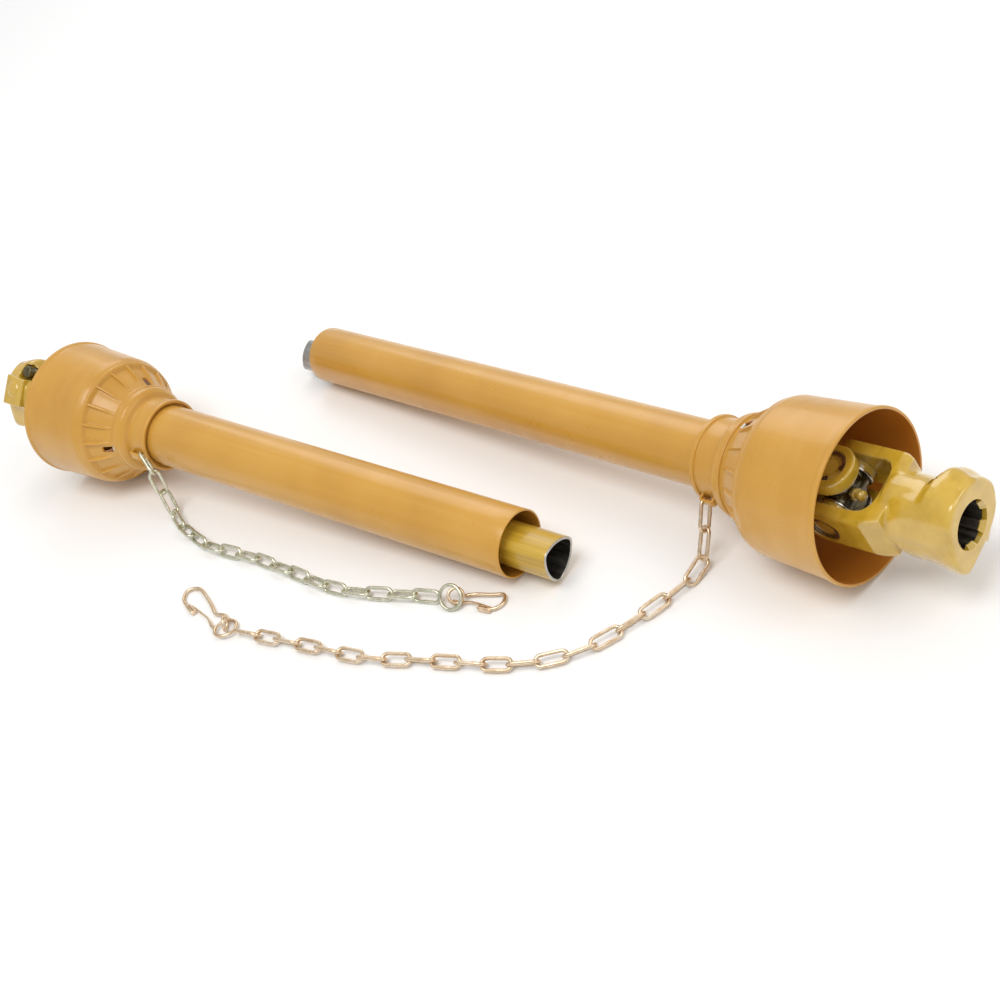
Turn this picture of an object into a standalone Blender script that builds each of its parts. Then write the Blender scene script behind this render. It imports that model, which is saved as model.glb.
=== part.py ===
"""Two halves of a telescoping tractor drive shaft with plastic guards, lying side by side.

Lengths below are millimetres. World: +Z up, floor at z = 0, shafts roughly along X.
Each half has its own frame: u points out of the bell mouth along the shaft.
"""
import math

import bpy
import bmesh
import numpy as np
from mathutils import Matrix, Vector

MM = 0.001
ORIGIN_SHIFT = (-0.0000434, -0.0001357, 0.0000782)        # moves everything so the bounding box stands on the origin

# ---- where the halves lie (centre of the bell mouth, centre of the guard tube's free end) ----
HALVES = {
    "a": dict(mouth=(-400.34, -70.82, 64.70), end=(142.54, -35.13, 28.24),
              guard_r=28.3, tube_r=18.0, tube_lobe=1.0, tube_wall=3.2, tube_out=37.0, lobe_deg=40.0,
              droop=3.0, ear_deg=-99.5, slot_deg=80.0, lug_deg=85.0),
    "b": dict(mouth=(400.63, 69.95, 64.39), end=(-224.53, 108.97, 26.35),
              guard_r=26.4, tube_r=14.5, tube_lobe=0.8, tube_wall=4.0, tube_out=36.0, lobe_deg=15.0,
              droop=8.0, ear_deg=-14.5, slot_deg=1.0, lug_deg=-110.0),
}
GUARD_WALL = 1.5
CROSS_BACK = 19.5          # cross centre behind the mouth plane

# ---- guard bell, distances behind the mouth and radii ----
BELL_OUT = [(0.9, 64.4), (3.8, 64.3), (4.4, 63.7), (66.0, 60.5), (70.0, 59.6), (73.0, 58.2), (75.5, 56.6), (76.2, 55.6),
            (77.0, 52.2), (98.5, 40.4), (100.6, 39.8), (101.2, 41.1), (103.2, 41.2), (104.0, 40.3), (108.6, 39.6),
            (111.6, 37.0), (113.9, 32.0), (132.0, 32.0), (132.3, 33.5), (136.3, 33.5)]
BELL_IN = [(113.0, 26.6), (108.5, 34.0), (106.2, 36.4), (102.0, 36.7), (78.0, 49.7), (74.6, 53.0), (70.0, 56.6),
           (66.0, 58.0), (0.0, 62.2)]
BELL_LIP = (0.0, 63.6)
BELL_SEGS = 32
RIB_COUNT, RIB_FIRST_DEG, RIB_THICK = 18, 11.0, 1.5
SLOT_FROM, SLOT_TO, SLOT_HALF = 88.5, 99.6, 3.0
COLLAR_STOP = 117.0
LUG = dict(x0=-131.0, x1=-117.5, half=3.5, top=38.0, hole_x0=-128.6, hole_x1=-119.8, hole_r0=32.7, hole_r1=35.7)

# ---- bearing ring ----
RING_IN, RING_FROM, RING_TO = 22.9, 97.5, 104.6
RING_OUT_A, RING_OUT_B = 36.4, 35.4

# ---- universal joint ----
CAP_R, CAP_BORE_R, CAP_OUT, CAP_IN, CAP_INNER_R = 11.9, 12.2, 30.65, 16.0, 8.6
TRUNNION_R, TRUNNION_END = 8.2, 28.2
EAR_FACE, EAR_INNER, EAR_BOSS_R = 33.0, 21.6, 18.8
CIRCLIP_R, CIRCLIP_IN, CIRCLIP_FROM, CIRCLIP_TO = 11.85, 9.4, 30.95, 32.35
ARM_ROUND = 36.6

# ---- tube yoke (towards the tube is -u) ----
NECK_R, GROOVE_R, NECK_END = 24.3, 21.2, 112.0
SOCKET_DEPTH_END = 64.5
TUBE_START = 65.0
ROLL_PIN_AT, ROLL_PIN_R, ROLL_HOLE_R = 82.0, 3.9, 4.1

# ---- end yoke (away from the tube is +u) ----
HUB_R, HUB_END = 27.5, 100.1
BAR_TURN_DEG = 54.5        # bulge direction from the ear axis of the tube yoke
PIN_U, PIN_P, PIN_R, PIN_BORE_R, PIN_STEM_R = 77.5, 21.5, 5.5, 5.8, 3.5
PIN_TRAVEL = 6.0
# outline of the hub seen from its face: (towards the pin, along the pin)
HUB_OVAL = [(33.5, 0.5), (32.5, 9.0), (26.0, 18.0), (19.0, 24.0), (10.8, 28.1), (-0.3, 28.6), (-8.0, 25.0), (-14.0, 20.5),
            (-25.5, 10.5), (-31.0, 0.5), (-33.0, -6.5), (-31.5, -10.5), (-24.6, -15.5), (-17.9, -19.8), (-7.9, -25.6),
            (5.8, -28.2), (16.1, -26.7), (26.6, -21.1), (31.0, -15.8), (33.4, -7.5)]
SPLINES, SPLINE_MAJOR_R, SPLINE_MINOR_R, SPLINE_HALF_WIDTH = 6, 17.5, 14.8, 4.4

# ---- chains and hooks: route points on the floor (part frame) ----
CHAIN_D = 9.0
CHAIN_Z = 4.8
CHAIN_A = [(-266.0, -108.0, 51.5), (-255.0, -113.0, 32.0), (-243.5, -116.3, 13.0), (-227.0, -118.6, CHAIN_Z),
           (-199.6, -123.3, CHAIN_Z), (-170.8, -127.6, CHAIN_Z), (-150.1, -126.4, CHAIN_Z), (-127.8, -123.6, CHAIN_Z),
           (-102.7, -121.6, CHAIN_Z), (-78.1, -121.2, CHAIN_Z), (-54.1, -121.0, CHAIN_Z), (-32.0, -121.2, CHAIN_Z),
           (-10.4, -120.6, CHAIN_Z), (8.6, -117.5, CHAIN_Z), (25.5, -113.3, CHAIN_Z), (43.9, -107.6, CHAIN_Z),
           (60.5, -101.9, CHAIN_Z), (76.0, -97.2, CHAIN_Z), (88.6, -92.6, CHAIN_Z)]
CHAIN_B = [(273.4, 38.4, 34.0), (275.0, 28.0, 18.0), (276.6, 17.0, 8.0), (277.0, 6.0, CHAIN_Z),
           (273.6, -10.5, CHAIN_Z), (267.6, -31.5, CHAIN_Z), (260.0, -51.8, CHAIN_Z), (251.6, -71.2, CHAIN_Z),
           (240.8, -89.3, CHAIN_Z), (226.0, -104.8, CHAIN_Z), (209.0, -117.4, CHAIN_Z), (189.1, -127.8, CHAIN_Z),
           (168.1, -135.7, CHAIN_Z), (146.0, -143.1, CHAIN_Z), (123.9, -150.6, CHAIN_Z), (101.6, -159.0, CHAIN_Z),
           (79.7, -166.6, CHAIN_Z), (57.0, -171.7, CHAIN_Z), (33.1, -175.6, CHAIN_Z), (9.1, -180.0, CHAIN_Z),
           (-14.1, -184.5, CHAIN_Z), (-34.0, -187.8, CHAIN_Z), (-51.8, -190.8, CHAIN_Z)]

MATS = {
    "guard_plastic": ((0.72, 0.42, 0.10), 0.0, 0.42),
    "nylon": ((0.80, 0.79, 0.74), 0.0, 0.45),
    "yoke_paint": ((0.52, 0.38, 0.06), 0.0, 0.30),
    "bare_steel": ((0.42, 0.41, 0.39), 1.0, 0.38),
    "zinc_green": ((0.66, 0.66, 0.52), 1.0, 0.30),
    "zinc_gold": ((0.80, 0.62, 0.42), 1.0, 0.30),
}

for o in list(bpy.data.objects):
    bpy.data.objects.remove(o, do_unlink=True)


# ------------------------------------------------------------------ helpers
def unit(v):
    return Vector(v).normalized()


def half_axes(out):
    """Right-handed axes of a half: x outward, z as near to world up as it can be."""
    x = unit(out)
    up = Vector((0, 0, 1))
    z = (up - x * up.dot(x)).normalized()
    return x, z.cross(x), z


def frame(x, y, z, origin):
    m = Matrix((x, y, z)).transposed().to_4x4()
    m.translation = Vector(origin) * MM + Vector(ORIGIN_SHIFT)
    return m


def material(name):
    key = "part_" + name
    m = bpy.data.materials.get(key)
    if m is None:
        rgb, metal, rough = MATS[name]
        m = bpy.data.materials.new(key)
        m.use_nodes = True
        b = m.node_tree.nodes["Principled BSDF"]
        b.inputs["Base Color"].default_value = (*rgb, 1)
        b.inputs["Metallic"].default_value = metal
        b.inputs["Roughness"].default_value = rough
    return m


def mesh_from(verts, faces):
    me = bpy.data.meshes.new("m")
    me.from_pydata([tuple(c * MM for c in v) for v in verts], [], faces)
    bm = bmesh.new()
    bm.from_mesh(me)
    bmesh.ops.recalc_face_normals(bm, faces=bm.faces)
    bm.to_mesh(me)
    bm.free()
    return me


def temp(me):
    o = bpy.data.objects.new("cutter", me)
    bpy.context.scene.collection.objects.link(o)
    return o


def lathe(profile, segs, phase=0.0):
    """Turn a loop of (x, r) about X; a loop that starts and ends on the axis makes a solid."""
    solid = profile[0][1] == 0 and profile[-1][1] == 0
    ring = profile[1:-1] if solid else profile
    verts, faces = [], []
    for x, r in ring:
        for k in range(segs):
            a = 2 * math.pi * k / segs + math.radians(phase)
            verts.append((x, r * math.sin(a), r * math.cos(a)))
    n = len(ring)
    for i in range(n - 1 if solid else n):
        j = (i + 1) % n
        for k in range(segs):
            q = (k + 1) % segs
            faces.append((i * segs + k, i * segs + q, j * segs + q, j * segs + k))
    if solid:
        faces.append(tuple(range(segs)))
        faces.append(tuple(range((n - 1) * segs, n * segs)))
    return mesh_from(verts, faces)


def prism(poly, lo, hi, place):
    """Extrude a polygon of (a, b) from c = lo to hi; place(a, b, c) gives the point."""
    n = len(poly)
    verts = [place(a, b, lo) for a, b in poly] + [place(a, b, hi) for a, b in poly]
    faces = [tuple(range(n)), tuple(range(n, 2 * n))]
    faces += [(i, (i + 1) % n, n + (i + 1) % n, n + i) for i in range(n)]
    return mesh_from(verts, faces)


def box(x0, x1, y0, y1, z0, z1, place=lambda a, b, c: (a, b, c)):
    return prism([(x0, y0), (x1, y0), (x1, y1), (x0, y1)], z0, z1, place)


def rod(radius, lo, hi, segs, place, phase=0.0):
    """Solid cylinder along c through (a, b) = (0, 0)."""
    pts = [(radius * math.cos(2 * math.pi * k / segs + math.radians(phase)),
            radius * math.sin(2 * math.pi * k / segs + math.radians(phase))) for k in range(segs)]
    return prism(pts, lo, hi, place)


def combine(me, others, op):
    """Boolean several meshes into or out of one, in turn, and return the new mesh."""
    base = temp(me)
    tools = []
    for other in others:
        t = temp(other)
        t.hide_render = True
        t.display_type = 'WIRE'
        tools.append(t)
        m = base.modifiers.new("b", 'BOOLEAN')
        m.solver = 'EXACT'
        m.operation = op
        m.object = t
    bpy.context.view_layer.update()
    deps = bpy.context.evaluated_depsgraph_get()
    out = bpy.data.meshes.new_from_object(base.evaluated_get(deps))
    for o in [base] + tools:
        bpy.data.objects.remove(o, do_unlink=True)
    out.materials.clear()
    return out


def joined(meshes):
    """Several separate shells as one mesh, used as a single tool."""
    bm = bmesh.new()
    for me in meshes:
        bm.from_mesh(me)
    out = bpy.data.meshes.new("j")
    bm.to_mesh(out)
    bm.free()
    return out


def node(name, me, mat, matrix, smooth=35.0):
    bm = bmesh.new()
    bm.from_mesh(me)
    bmesh.ops.remove_doubles(bm, verts=bm.verts, dist=2e-6)
    bmesh.ops.dissolve_degenerate(bm, edges=bm.edges, dist=2e-6)
    bm.to_mesh(me)
    bm.free()
    me.name = name
    me.materials.clear()
    me.materials.append(material(mat))
    o = bpy.data.objects.new(name, me)
    bpy.context.scene.collection.objects.link(o)
    o.matrix_world = matrix
    me.set_sharp_from_angle(angle=math.radians(smooth))
    for p in me.polygons:
        p.use_smooth = True
    return o


def tri_lobe(radius, lobe, turn_deg, n=30):
    pts = []
    for k in range(n):
        a = 2 * math.pi * k / n
        r = radius + lobe * math.cos(3 * (a - math.radians(turn_deg)))
        pts.append((r * math.sin(a), r * math.cos(a)))
    return pts


def smooth_route(points, spacing):
    """Even samples, spacing apart, of a centripetal spline through the points."""
    p = [np.array(q, float) for q in points]
    p = [2 * p[0] - p[1]] + p + [2 * p[-1] - p[-2]]
    fine = []
    for i in range(1, len(p) - 2):
        t = [0.0]
        for a, b in zip(p[i - 1:i + 2], p[i:i + 3]):
            t.append(t[-1] + max(np.linalg.norm(b - a), 1e-6) ** 0.5)
        for s in np.linspace(t[1], t[2], 24, endpoint=False):
            c = p[i - 1:i + 3]
            lv = [((t[k + 1] - s) * c[k] + (s - t[k]) * c[k + 1]) / (t[k + 1] - t[k]) for k in range(3)]
            l2 = [((t[k + 2] - s) * lv[k] + (s - t[k]) * lv[k + 1]) / (t[k + 2] - t[k]) for k in range(2)]
            fine.append(((t[2] - s) * l2[0] + (s - t[1]) * l2[1]) / (t[2] - t[1]))
    fine.append(p[-2])
    fine = np.array(fine)
    run = np.concatenate([[0], np.cumsum(np.linalg.norm(np.diff(fine, axis=0), axis=1))])
    count = max(2, int(round(run[-1] / spacing)))
    at = np.linspace(0, run[-1], count + 1)
    return [tuple(np.interp(a, run, fine[:, k]) for k in range(3)) for a in at]


def wire(name, points, diameter, mat, resolution=2):
    cu = bpy.data.curves.new(name, 'CURVE')
    cu.dimensions = '3D'
    cu.bevel_depth = diameter / 2 * MM
    cu.bevel_resolution = resolution
    cu.use_fill_caps = True
    sp = cu.splines.new('POLY')
    sp.points.add(len(points) - 1)
    for q, pt in zip(points, sp.points):
        pt.co = (*[c * MM + s for c, s in zip(q, ORIGIN_SHIFT)], 1)
    cu.materials.append(material(mat))
    o = bpy.data.objects.new(name, cu)
    bpy.context.scene.collection.objects.link(o)
    return o


def ring_mesh(centre, axis, ring_r, wire_r, n_ring=20, n_wire=8):
    c, ax = Vector(centre), unit(axis)
    e1 = ax.orthogonal().normalized()
    e2 = ax.cross(e1)
    verts, faces = [], []
    for i in range(n_ring):
        a = 2 * math.pi * i / n_ring
        d = e1 * math.cos(a) + e2 * math.sin(a)
        for j in range(n_wire):
            b = 2 * math.pi * j / n_wire
            verts.append(tuple(c + d * (ring_r + wire_r * math.cos(b)) + ax * (wire_r * math.sin(b))))
    for i in range(n_ring):
        for j in range(n_wire):
            p, q = (i + 1) % n_ring, (j + 1) % n_wire
            faces.append((i * n_wire + j, p * n_wire + j, p * n_wire + q, i * n_wire + q))
    return mesh_from(verts, faces)


# ------------------------------------------------------------------ guard side
def guard_bell(h):
    bore = h["guard_r"] + 0.3
    flange_in = h["guard_r"] + 2.6
    back = [(136.3, flange_in), (133.6, flange_in), (133.0, bore), (COLLAR_STOP, bore), (COLLAR_STOP, bore - 1.9)]
    loop = [BELL_LIP] + BELL_OUT + back + BELL_IN
    me = lathe([(-s, r) for s, r in loop], BELL_SEGS)
    rib_poly = [(-75.2, 53.9), (-75.9, 55.9), (-88.0, 48.6), (-98.3, 40.9), (-98.3, 39.2), (-77.0, 51.0)]
    ribs = []
    for k in range(RIB_COUNT):
        a = math.radians(RIB_FIRST_DEG + 360.0 / RIB_COUNT * k)
        ribs.append(prism(rib_poly, -RIB_THICK / 2, RIB_THICK / 2,
                          lambda x, r, c, a=a: (x, r * math.sin(a) + c * math.cos(a),
                                                r * math.cos(a) - c * math.sin(a))))
    a = math.radians(h["lug_deg"])
    at_lug = lambda x, c, r: (x, r * math.sin(a) + c * math.cos(a), r * math.cos(a) - c * math.sin(a))
    lug = box(LUG["x0"], LUG["x1"], -LUG["half"], LUG["half"], 30.8, LUG["top"], at_lug)
    hole = box(LUG["hole_x0"], LUG["hole_x1"], -9, 9, LUG["hole_r0"], LUG["hole_r1"], at_lug)
    me = combine(me, [joined(ribs), lug], 'UNION')
    slots = []
    for k in range(3):
        b = math.radians(h["slot_deg"] + 120 * k)
        slots.append(box(-SLOT_TO, -SLOT_FROM, -SLOT_HALF, SLOT_HALF, 30, 52,
                         lambda x, c, r, b=b: (x, r * math.sin(b) + c * math.cos(b),
                                               r * math.cos(b) - c * math.sin(b))))
    return combine(me, [joined(slots), hole], 'DIFFERENCE')


def guard_tube(h, length):
    r = h["guard_r"]
    s0 = COLLAR_STOP + 0.3
    return lathe([(-s0, r), (-length + 0.4, r), (-length, r - 0.4), (-length, r - GUARD_WALL), (-s0, r - GUARD_WALL)], 32)


def bearing_ring(h):
    me = lathe([(-RING_FROM, RING_OUT_A), (-RING_TO, RING_OUT_B), (-RING_TO, RING_IN), (-RING_FROM, RING_IN)], 24)
    tabs = []
    for k in range(3):
        b = math.radians(h["slot_deg"] + 120 * k)
        tabs.append(box(-99.2, -97.8, -SLOT_HALF + 0.45, SLOT_HALF - 0.45, 30, 40.2,
                        lambda x, c, r, b=b: (x, r * math.sin(b) + c * math.cos(b),
                                              r * math.cos(b) - c * math.sin(b))))
    return combine(me, [joined(tabs)], 'UNION')


# ------------------------------------------------------------------ drive side
def fork(sign, along_ears, across):
    """Fork of two ears in (u, v, w) cut from a profile and a rounded plan, opening to -sign * u."""
    def place(ear, other):
        def put(u, e, c):
            p = {"v": 0, "w": 0}
            p[ear], p[other] = e, c
            return (sign * u, p["v"], p["w"])
        return put
    ears, other = ("w", "v") if sign > 0 else ("v", "w")
    a = prism(along_ears, -30, 30, place(ears, other))
    swap = place(other, ears)
    b = prism(across, -40, 40, swap)
    c = lathe([(-22, 0), (-22, ARM_ROUND), (60, ARM_ROUND), (60, 0)] if sign > 0 else
              [(-60, 0), (-60, ARM_ROUND), (22, ARM_ROUND), (22, 0)], 48, 3.75)
    me = combine(a, [b], 'INTERSECT')
    return combine(me, [c], 'INTERSECT'), place(ears, other)


def boss_plan(root_at, root_half, end_at):
    n = 14
    pts = [(-EAR_BOSS_R * math.sin(math.pi * k / n), EAR_BOSS_R * math.cos(math.pi * k / n)) for k in range(n + 1)]
    return pts + [(20.0, -EAR_BOSS_R), (root_at, -root_half), (end_at, -root_half),
                  (end_at, root_half), (root_at, root_half), (20.0, EAR_BOSS_R)]


def cap_bores(ears):
    put = {"v": lambda a, b, c: (a, c, b), "w": lambda a, b, c: (a, b, c)}[ears]
    return rod(CAP_BORE_R / math.cos(math.pi / 20), -45, 45, 20, put)


def tube_yoke(h):
    side = [(-20.5, EAR_INNER), (-20.5, EAR_FACE), (26.0, EAR_FACE), (42.5, 24.3), (42.5, -24.3), (26.0, -EAR_FACE),
            (-20.5, -EAR_FACE), (-20.5, -EAR_INNER), (25.0, -EAR_INNER), (34.0, -12.0), (34.0, 12.0), (25.0, EAR_INNER)]
    me, _ = fork(-1, side, boss_plan(27.0, 22.0, 42.5))
    g0, g1, n1 = -(97.0 - CROSS_BACK), -(105.0 - CROSS_BACK), -(NECK_END - CROSS_BACK)
    neck = lathe([(-34.2, 0), (-34.2, 19.0), (-41.5, NECK_R), (g0, NECK_R), (g0, GROOVE_R), (g1, GROOVE_R),
                  (g1, NECK_R), (n1 + 1.2, NECK_R), (n1, NECK_R - 1.2), (n1, 0)], 32)
    me = combine(me, [neck], 'UNION')
    socket = prism(tri_lobe(h["tube_r"] + 0.35, h["tube_lobe"], lobe_turn(h)), n1 - 5,
                   -(SOCKET_DEPTH_END - CROSS_BACK), lambda a, b, c: (c, a, b))
    at = -(ROLL_PIN_AT - CROSS_BACK)
    pin_hole = rod(ROLL_HOLE_R, -40, 40, 16, lambda a, b, c: (at + a, c, b))
    return combine(me, [cap_bores("v"), socket, pin_hole], 'DIFFERENCE')


def lobe_turn(h):
    """Lobe angle in the drive frame, where angles run from the w axis towards the ears."""
    return h["lobe_deg"] - h["ear_deg"] + 90.0


def profile_tube(h, length):
    end = -(length + h["tube_out"] - CROSS_BACK)
    start = -(TUBE_START - CROSS_BACK)
    r, lobe, wall = h["tube_r"], h["tube_lobe"], h["tube_wall"]
    me = prism(tri_lobe(r, lobe, lobe_turn(h)), end, start, lambda a, b, c: (c, a, b))
    inner = prism(tri_lobe(r - wall, lobe, lobe_turn(h)), end - 5, start + 5, lambda a, b, c: (c, a, b))
    at = -(ROLL_PIN_AT - CROSS_BACK)
    pin_hole = rod(ROLL_HOLE_R, -40, 40, 16, lambda a, b, c: (at + a, c, b))
    return combine(me, [inner, pin_hole], 'DIFFERENCE')


def roll_pin():
    at = -(ROLL_PIN_AT - CROSS_BACK)
    me = lathe([(-23.6, ROLL_PIN_R - 0.7), (-22.9, ROLL_PIN_R), (22.9, ROLL_PIN_R), (23.6, ROLL_PIN_R - 0.7),
                (23.6, 2.1), (-23.6, 2.1)], 16)
    me.transform(Matrix.Rotation(math.pi / 2, 4, 'Z'))
    me.transform(Matrix.Translation((at * MM, 0, 0)))
    return me


def cross_body():
    """Four trunnions in the v-w plane on a rounded middle."""
    end = [(-TRUNNION_END, 0), (-TRUNNION_END, TRUNNION_R - 0.8), (-TRUNNION_END + 0.8, TRUNNION_R),
           (-15.2, TRUNNION_R), (-14.6, 11.0), (-11.0, 11.6), (11.0, 11.6), (14.6, 11.0), (15.2, TRUNNION_R),
           (TRUNNION_END - 0.8, TRUNNION_R), (TRUNNION_END, TRUNNION_R - 0.8), (TRUNNION_END, 0)]
    a = lathe(end, 16, 11.25)
    b = a.copy()
    a.transform(Matrix.Rotation(math.pi / 2, 4, 'Z'))
    b.transform(Matrix.Rotation(math.pi / 2, 4, 'Y'))
    me = combine(a, [b], 'UNION')
    return combine(me, [rod(3.5, 6.0, 14.4, 12, nipple_place), rod(4.9, 12.4, 30.0, 12, nipple_place)], 'DIFFERENCE')


NIPPLE_DIR = Vector((0.88, 0.42, 0.22)).normalized()


def nipple_place(p, q, c):
    z = NIPPLE_DIR
    x = z.orthogonal().normalized()
    y = z.cross(x)
    v = x * p + y * q + z * c
    return tuple(v)


def grease_nipple():
    prof = [(6.5, 0), (6.5, 3.0), (12.8, 3.0), (12.8, 4.4), (16.2, 4.4), (17.0, 2.6), (20.6, 2.6), (21.6, 3.5),
            (24.2, 3.5), (25.8, 2.0), (25.8, 0)]
    me = lathe(prof, 12)
    z = NIPPLE_DIR
    x = z.orthogonal().normalized()
    y = z.cross(x)
    m = Matrix((z, y, -x)).transposed().to_4x4()
    if m.determinant() < 0:
        m = Matrix((z, y, x)).transposed().to_4x4()
    me.transform(m)
    return me


def bearing_cap(ears, sign):
    prof = [(CAP_OUT, 0), (CAP_OUT, CAP_R - 0.6), (CAP_OUT - 0.6, CAP_R), (CAP_IN, CAP_R), (CAP_IN, CAP_INNER_R),
            (CAP_OUT - 2.1, CAP_INNER_R), (CAP_OUT - 2.1, 0)]
    me = lathe([(sign * x, r) for x, r in prof], 16, 11.25)
    me.transform(Matrix.Rotation(math.pi / 2, 4, 'Z') if ears == "v" else Matrix.Rotation(-math.pi / 2, 4, 'Y'))
    return me


def circlip(ears, sign):
    n = 12
    gap = math.radians(26)
    outer, inner = [], []
    for k in range(n + 1):
        a = gap + (2 * math.pi - 2 * gap) * k / n
        outer.append((CIRCLIP_R * math.cos(a), CIRCLIP_R * math.sin(a)))
        inner.append((CIRCLIP_IN * math.cos(a), CIRCLIP_IN * math.sin(a)))
    poly = outer + inner[::-1]
    put = {"v": lambda a, b, c: (a, c, b), "w": lambda a, b, c: (a, b, c)}[ears]
    lo, hi = sorted((sign * CIRCLIP_FROM, sign * CIRCLIP_TO))
    return prism(poly, lo, hi, put)


BAR_TURN = math.radians(BAR_TURN_DEG)


def in_bar(p, t, u):
    """Point from bulge direction p, pin direction t and u."""
    return (u, p * math.cos(BAR_TURN) + t * math.sin(BAR_TURN), -p * math.sin(BAR_TURN) + t * math.cos(BAR_TURN))


def spline_cutter(u0, u1):
    pts = []
    wide = math.degrees(math.asin(SPLINE_HALF_WIDTH / SPLINE_MAJOR_R))
    root = math.degrees(math.asin(SPLINE_HALF_WIDTH / SPLINE_MINOR_R))
    for k in range(SPLINES):
        c = 360.0 / SPLINES * k
        for d, r in ((-root, SPLINE_MINOR_R), (-wide, SPLINE_MAJOR_R), (-wide / 3, SPLINE_MAJOR_R),
                     (wide / 3, SPLINE_MAJOR_R), (wide, SPLINE_MAJOR_R), (root, SPLINE_MINOR_R),
                     (180.0 / SPLINES, SPLINE_MINOR_R)):
            a = math.radians(c + d)
            pts.append((r * math.cos(a), r * math.sin(a)))
    return prism(pts, u0, u1, lambda a, b, c: (c, a, b))


def hub_lobes():
    """Oval body round the hub; each level limits or lifts the far lobe and the one over the pin."""
    levels = [(48.0, 25.4, 0, 25.4, 0), (58.0, 26.6, 0, 25.4, 0), (64.0, 29.5, 0, 25.8, 0), (67.5, 99, 2.0, 26.6, 0),
              (71.5, 99, 3.0, 29.0, 0), (75.5, 99, 1.5, 99, 0.6), (81.0, 99, -0.8, 99, 1.2), (87.0, 99, -0.8, 99, 0.4),
              (92.5, 99, 0.0, 99, -1.8), (HUB_END - 1.8, 99, 0.8, 99, -1.8), (HUB_END, 99, -1.0, 99, -3.6)]
    verts, faces, n = [], [], len(HUB_OVAL)
    for u, far_r, far_add, near_r, near_add in levels:
        for p, t in HUB_OVAL:
            r = math.hypot(p, t)
            near = min(max((p + 6.0) / 18.0, 0.0), 1.0)
            end = -1.8 if u == HUB_END else 0.0
            reach = near * min(r, near_r) + (1 - near) * min(r, far_r)
            reach += max(abs(p) - 12.0, 0.0) / 20.0 * (near_add if p > 0 else far_add) if abs(p) > 12.0 else end
            verts.append(in_bar(p / r * reach, t / r * reach, u))
    faces += [tuple(range(n)), tuple(range((len(levels) - 1) * n, len(levels) * n))]
    for i in range(len(levels) - 1):
        for k in range(n):
            q = (k + 1) % n
            faces.append((i * n + k, i * n + q, (i + 1) * n + q))
            faces.append((i * n + k, (i + 1) * n + q, (i + 1) * n + k))
    return mesh_from(verts, faces)


def end_yoke():
    side = [(-20.5, EAR_INNER), (-20.5, EAR_FACE), (33.5, EAR_FACE), (47.0, 26.6), (47.0, -26.6), (33.5, -EAR_FACE),
            (-20.5, -EAR_FACE), (-20.5, -EAR_INNER), (34.0, -EAR_INNER), (38.5, -17.0), (38.5, 17.0), (34.0, EAR_INNER)]
    me, _ = fork(1, side, boss_plan(40.0, 22.0, 47.0))
    hub = lathe([(38.6, 0), (38.6, 19.0), (43.0, 25.6), (HUB_END - 3.0, 25.6), (HUB_END - 1.0, 24.0), (HUB_END - 1.0, 0)], 32)
    flank = prism([(-12.5, -18.0), (-12.5, -30.2), (15.0, -30.2), (15.0, -18.0)], 72.0, 96.0, in_bar)
    spot = rod(7.0, -31.4, -18.0, 16, lambda a, b, c: in_bar(1.0 + a, c, 85.0 + b))
    me = combine(me, [hub, hub_lobes(), flank, spot], 'UNION')
    pockets = joined([box(70.2, 84.8, 14.3, 28.7, -45.0, -14.0, lambda u, p, t: in_bar(p, t, u)),
                      box(72.0, 84.0, -20.5, -14.5, -45.0, -22.0, lambda u, p, t: in_bar(p, t, u))])
    pin_bore = rod(PIN_BORE_R, -30, 17.8, 16, lambda a, b, c: in_bar(PIN_P + a, c, PIN_U + b))
    mouth = lathe([(HUB_END - 3.2, 0), (HUB_END - 3.2, SPLINE_MINOR_R - 0.4), (HUB_END + 0.8, 18.4), (HUB_END + 0.8, 0)], 32)
    return combine(me, [cap_bores("w"), spline_cutter(20.0, HUB_END + 5), mouth, pockets, pin_bore], 'DIFFERENCE')


def on_pin(me):
    """Lay a piece turned about X along the pin's axis."""
    m = Matrix(((0, 1, 0), (math.sin(BAR_TURN), 0, math.cos(BAR_TURN)),
                (math.cos(BAR_TURN), 0, -math.sin(BAR_TURN)))).to_4x4()
    m.translation = Vector(in_bar(PIN_P, 0, PIN_U)) * MM
    me.transform(m)
    return me


def push_pin():
    return on_pin(lathe([(-x, r) for x, r in (
        (-11.0, 0), (-11.0, PIN_R - 0.8), (-10.2, PIN_R), (-1.6, PIN_R), (-0.6, PIN_STEM_R),
        (20.4, PIN_STEM_R), (20.4, 6.2), (23.6, 6.2), (24.6, 5.0), (24.6, 0))], 16))


def pin_spring():
    return on_pin(lathe([(-x, r) for x, r in ((10.4, 5.3), (20.1, 5.3), (20.1, 4.0), (10.4, 4.0))], 16))


# ------------------------------------------------------------------ hooks
def hook_path(kind):
    """Bent wire of the chain's end hook, seen from above, on the floor."""
    if kind == "a":
        return [(130.8, -81.7), (122.3, -83.3), (114.6, -84.6), (111.2, -82.6), (112.4, -79.6), (122.1, -75.3),
                (135.0, -69.0), (141.3, -68.4), (147.2, -72.9), (147.5, -81.6), (140.5, -86.9), (131.6, -87.0)]
    return [(-110.7, -189.0), (-100.1, -191.2), (-93.6, -192.2), (-91.2, -190.0), (-94.2, -186.6), (-100.1, -183.8),
            (-117.5, -177.0), (-134.4, -171.0), (-143.4, -171.9), (-147.4, -177.3), (-141.3, -185.1),
            (-129.3, -190.6), (-117.5, -194.0)]


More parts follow.
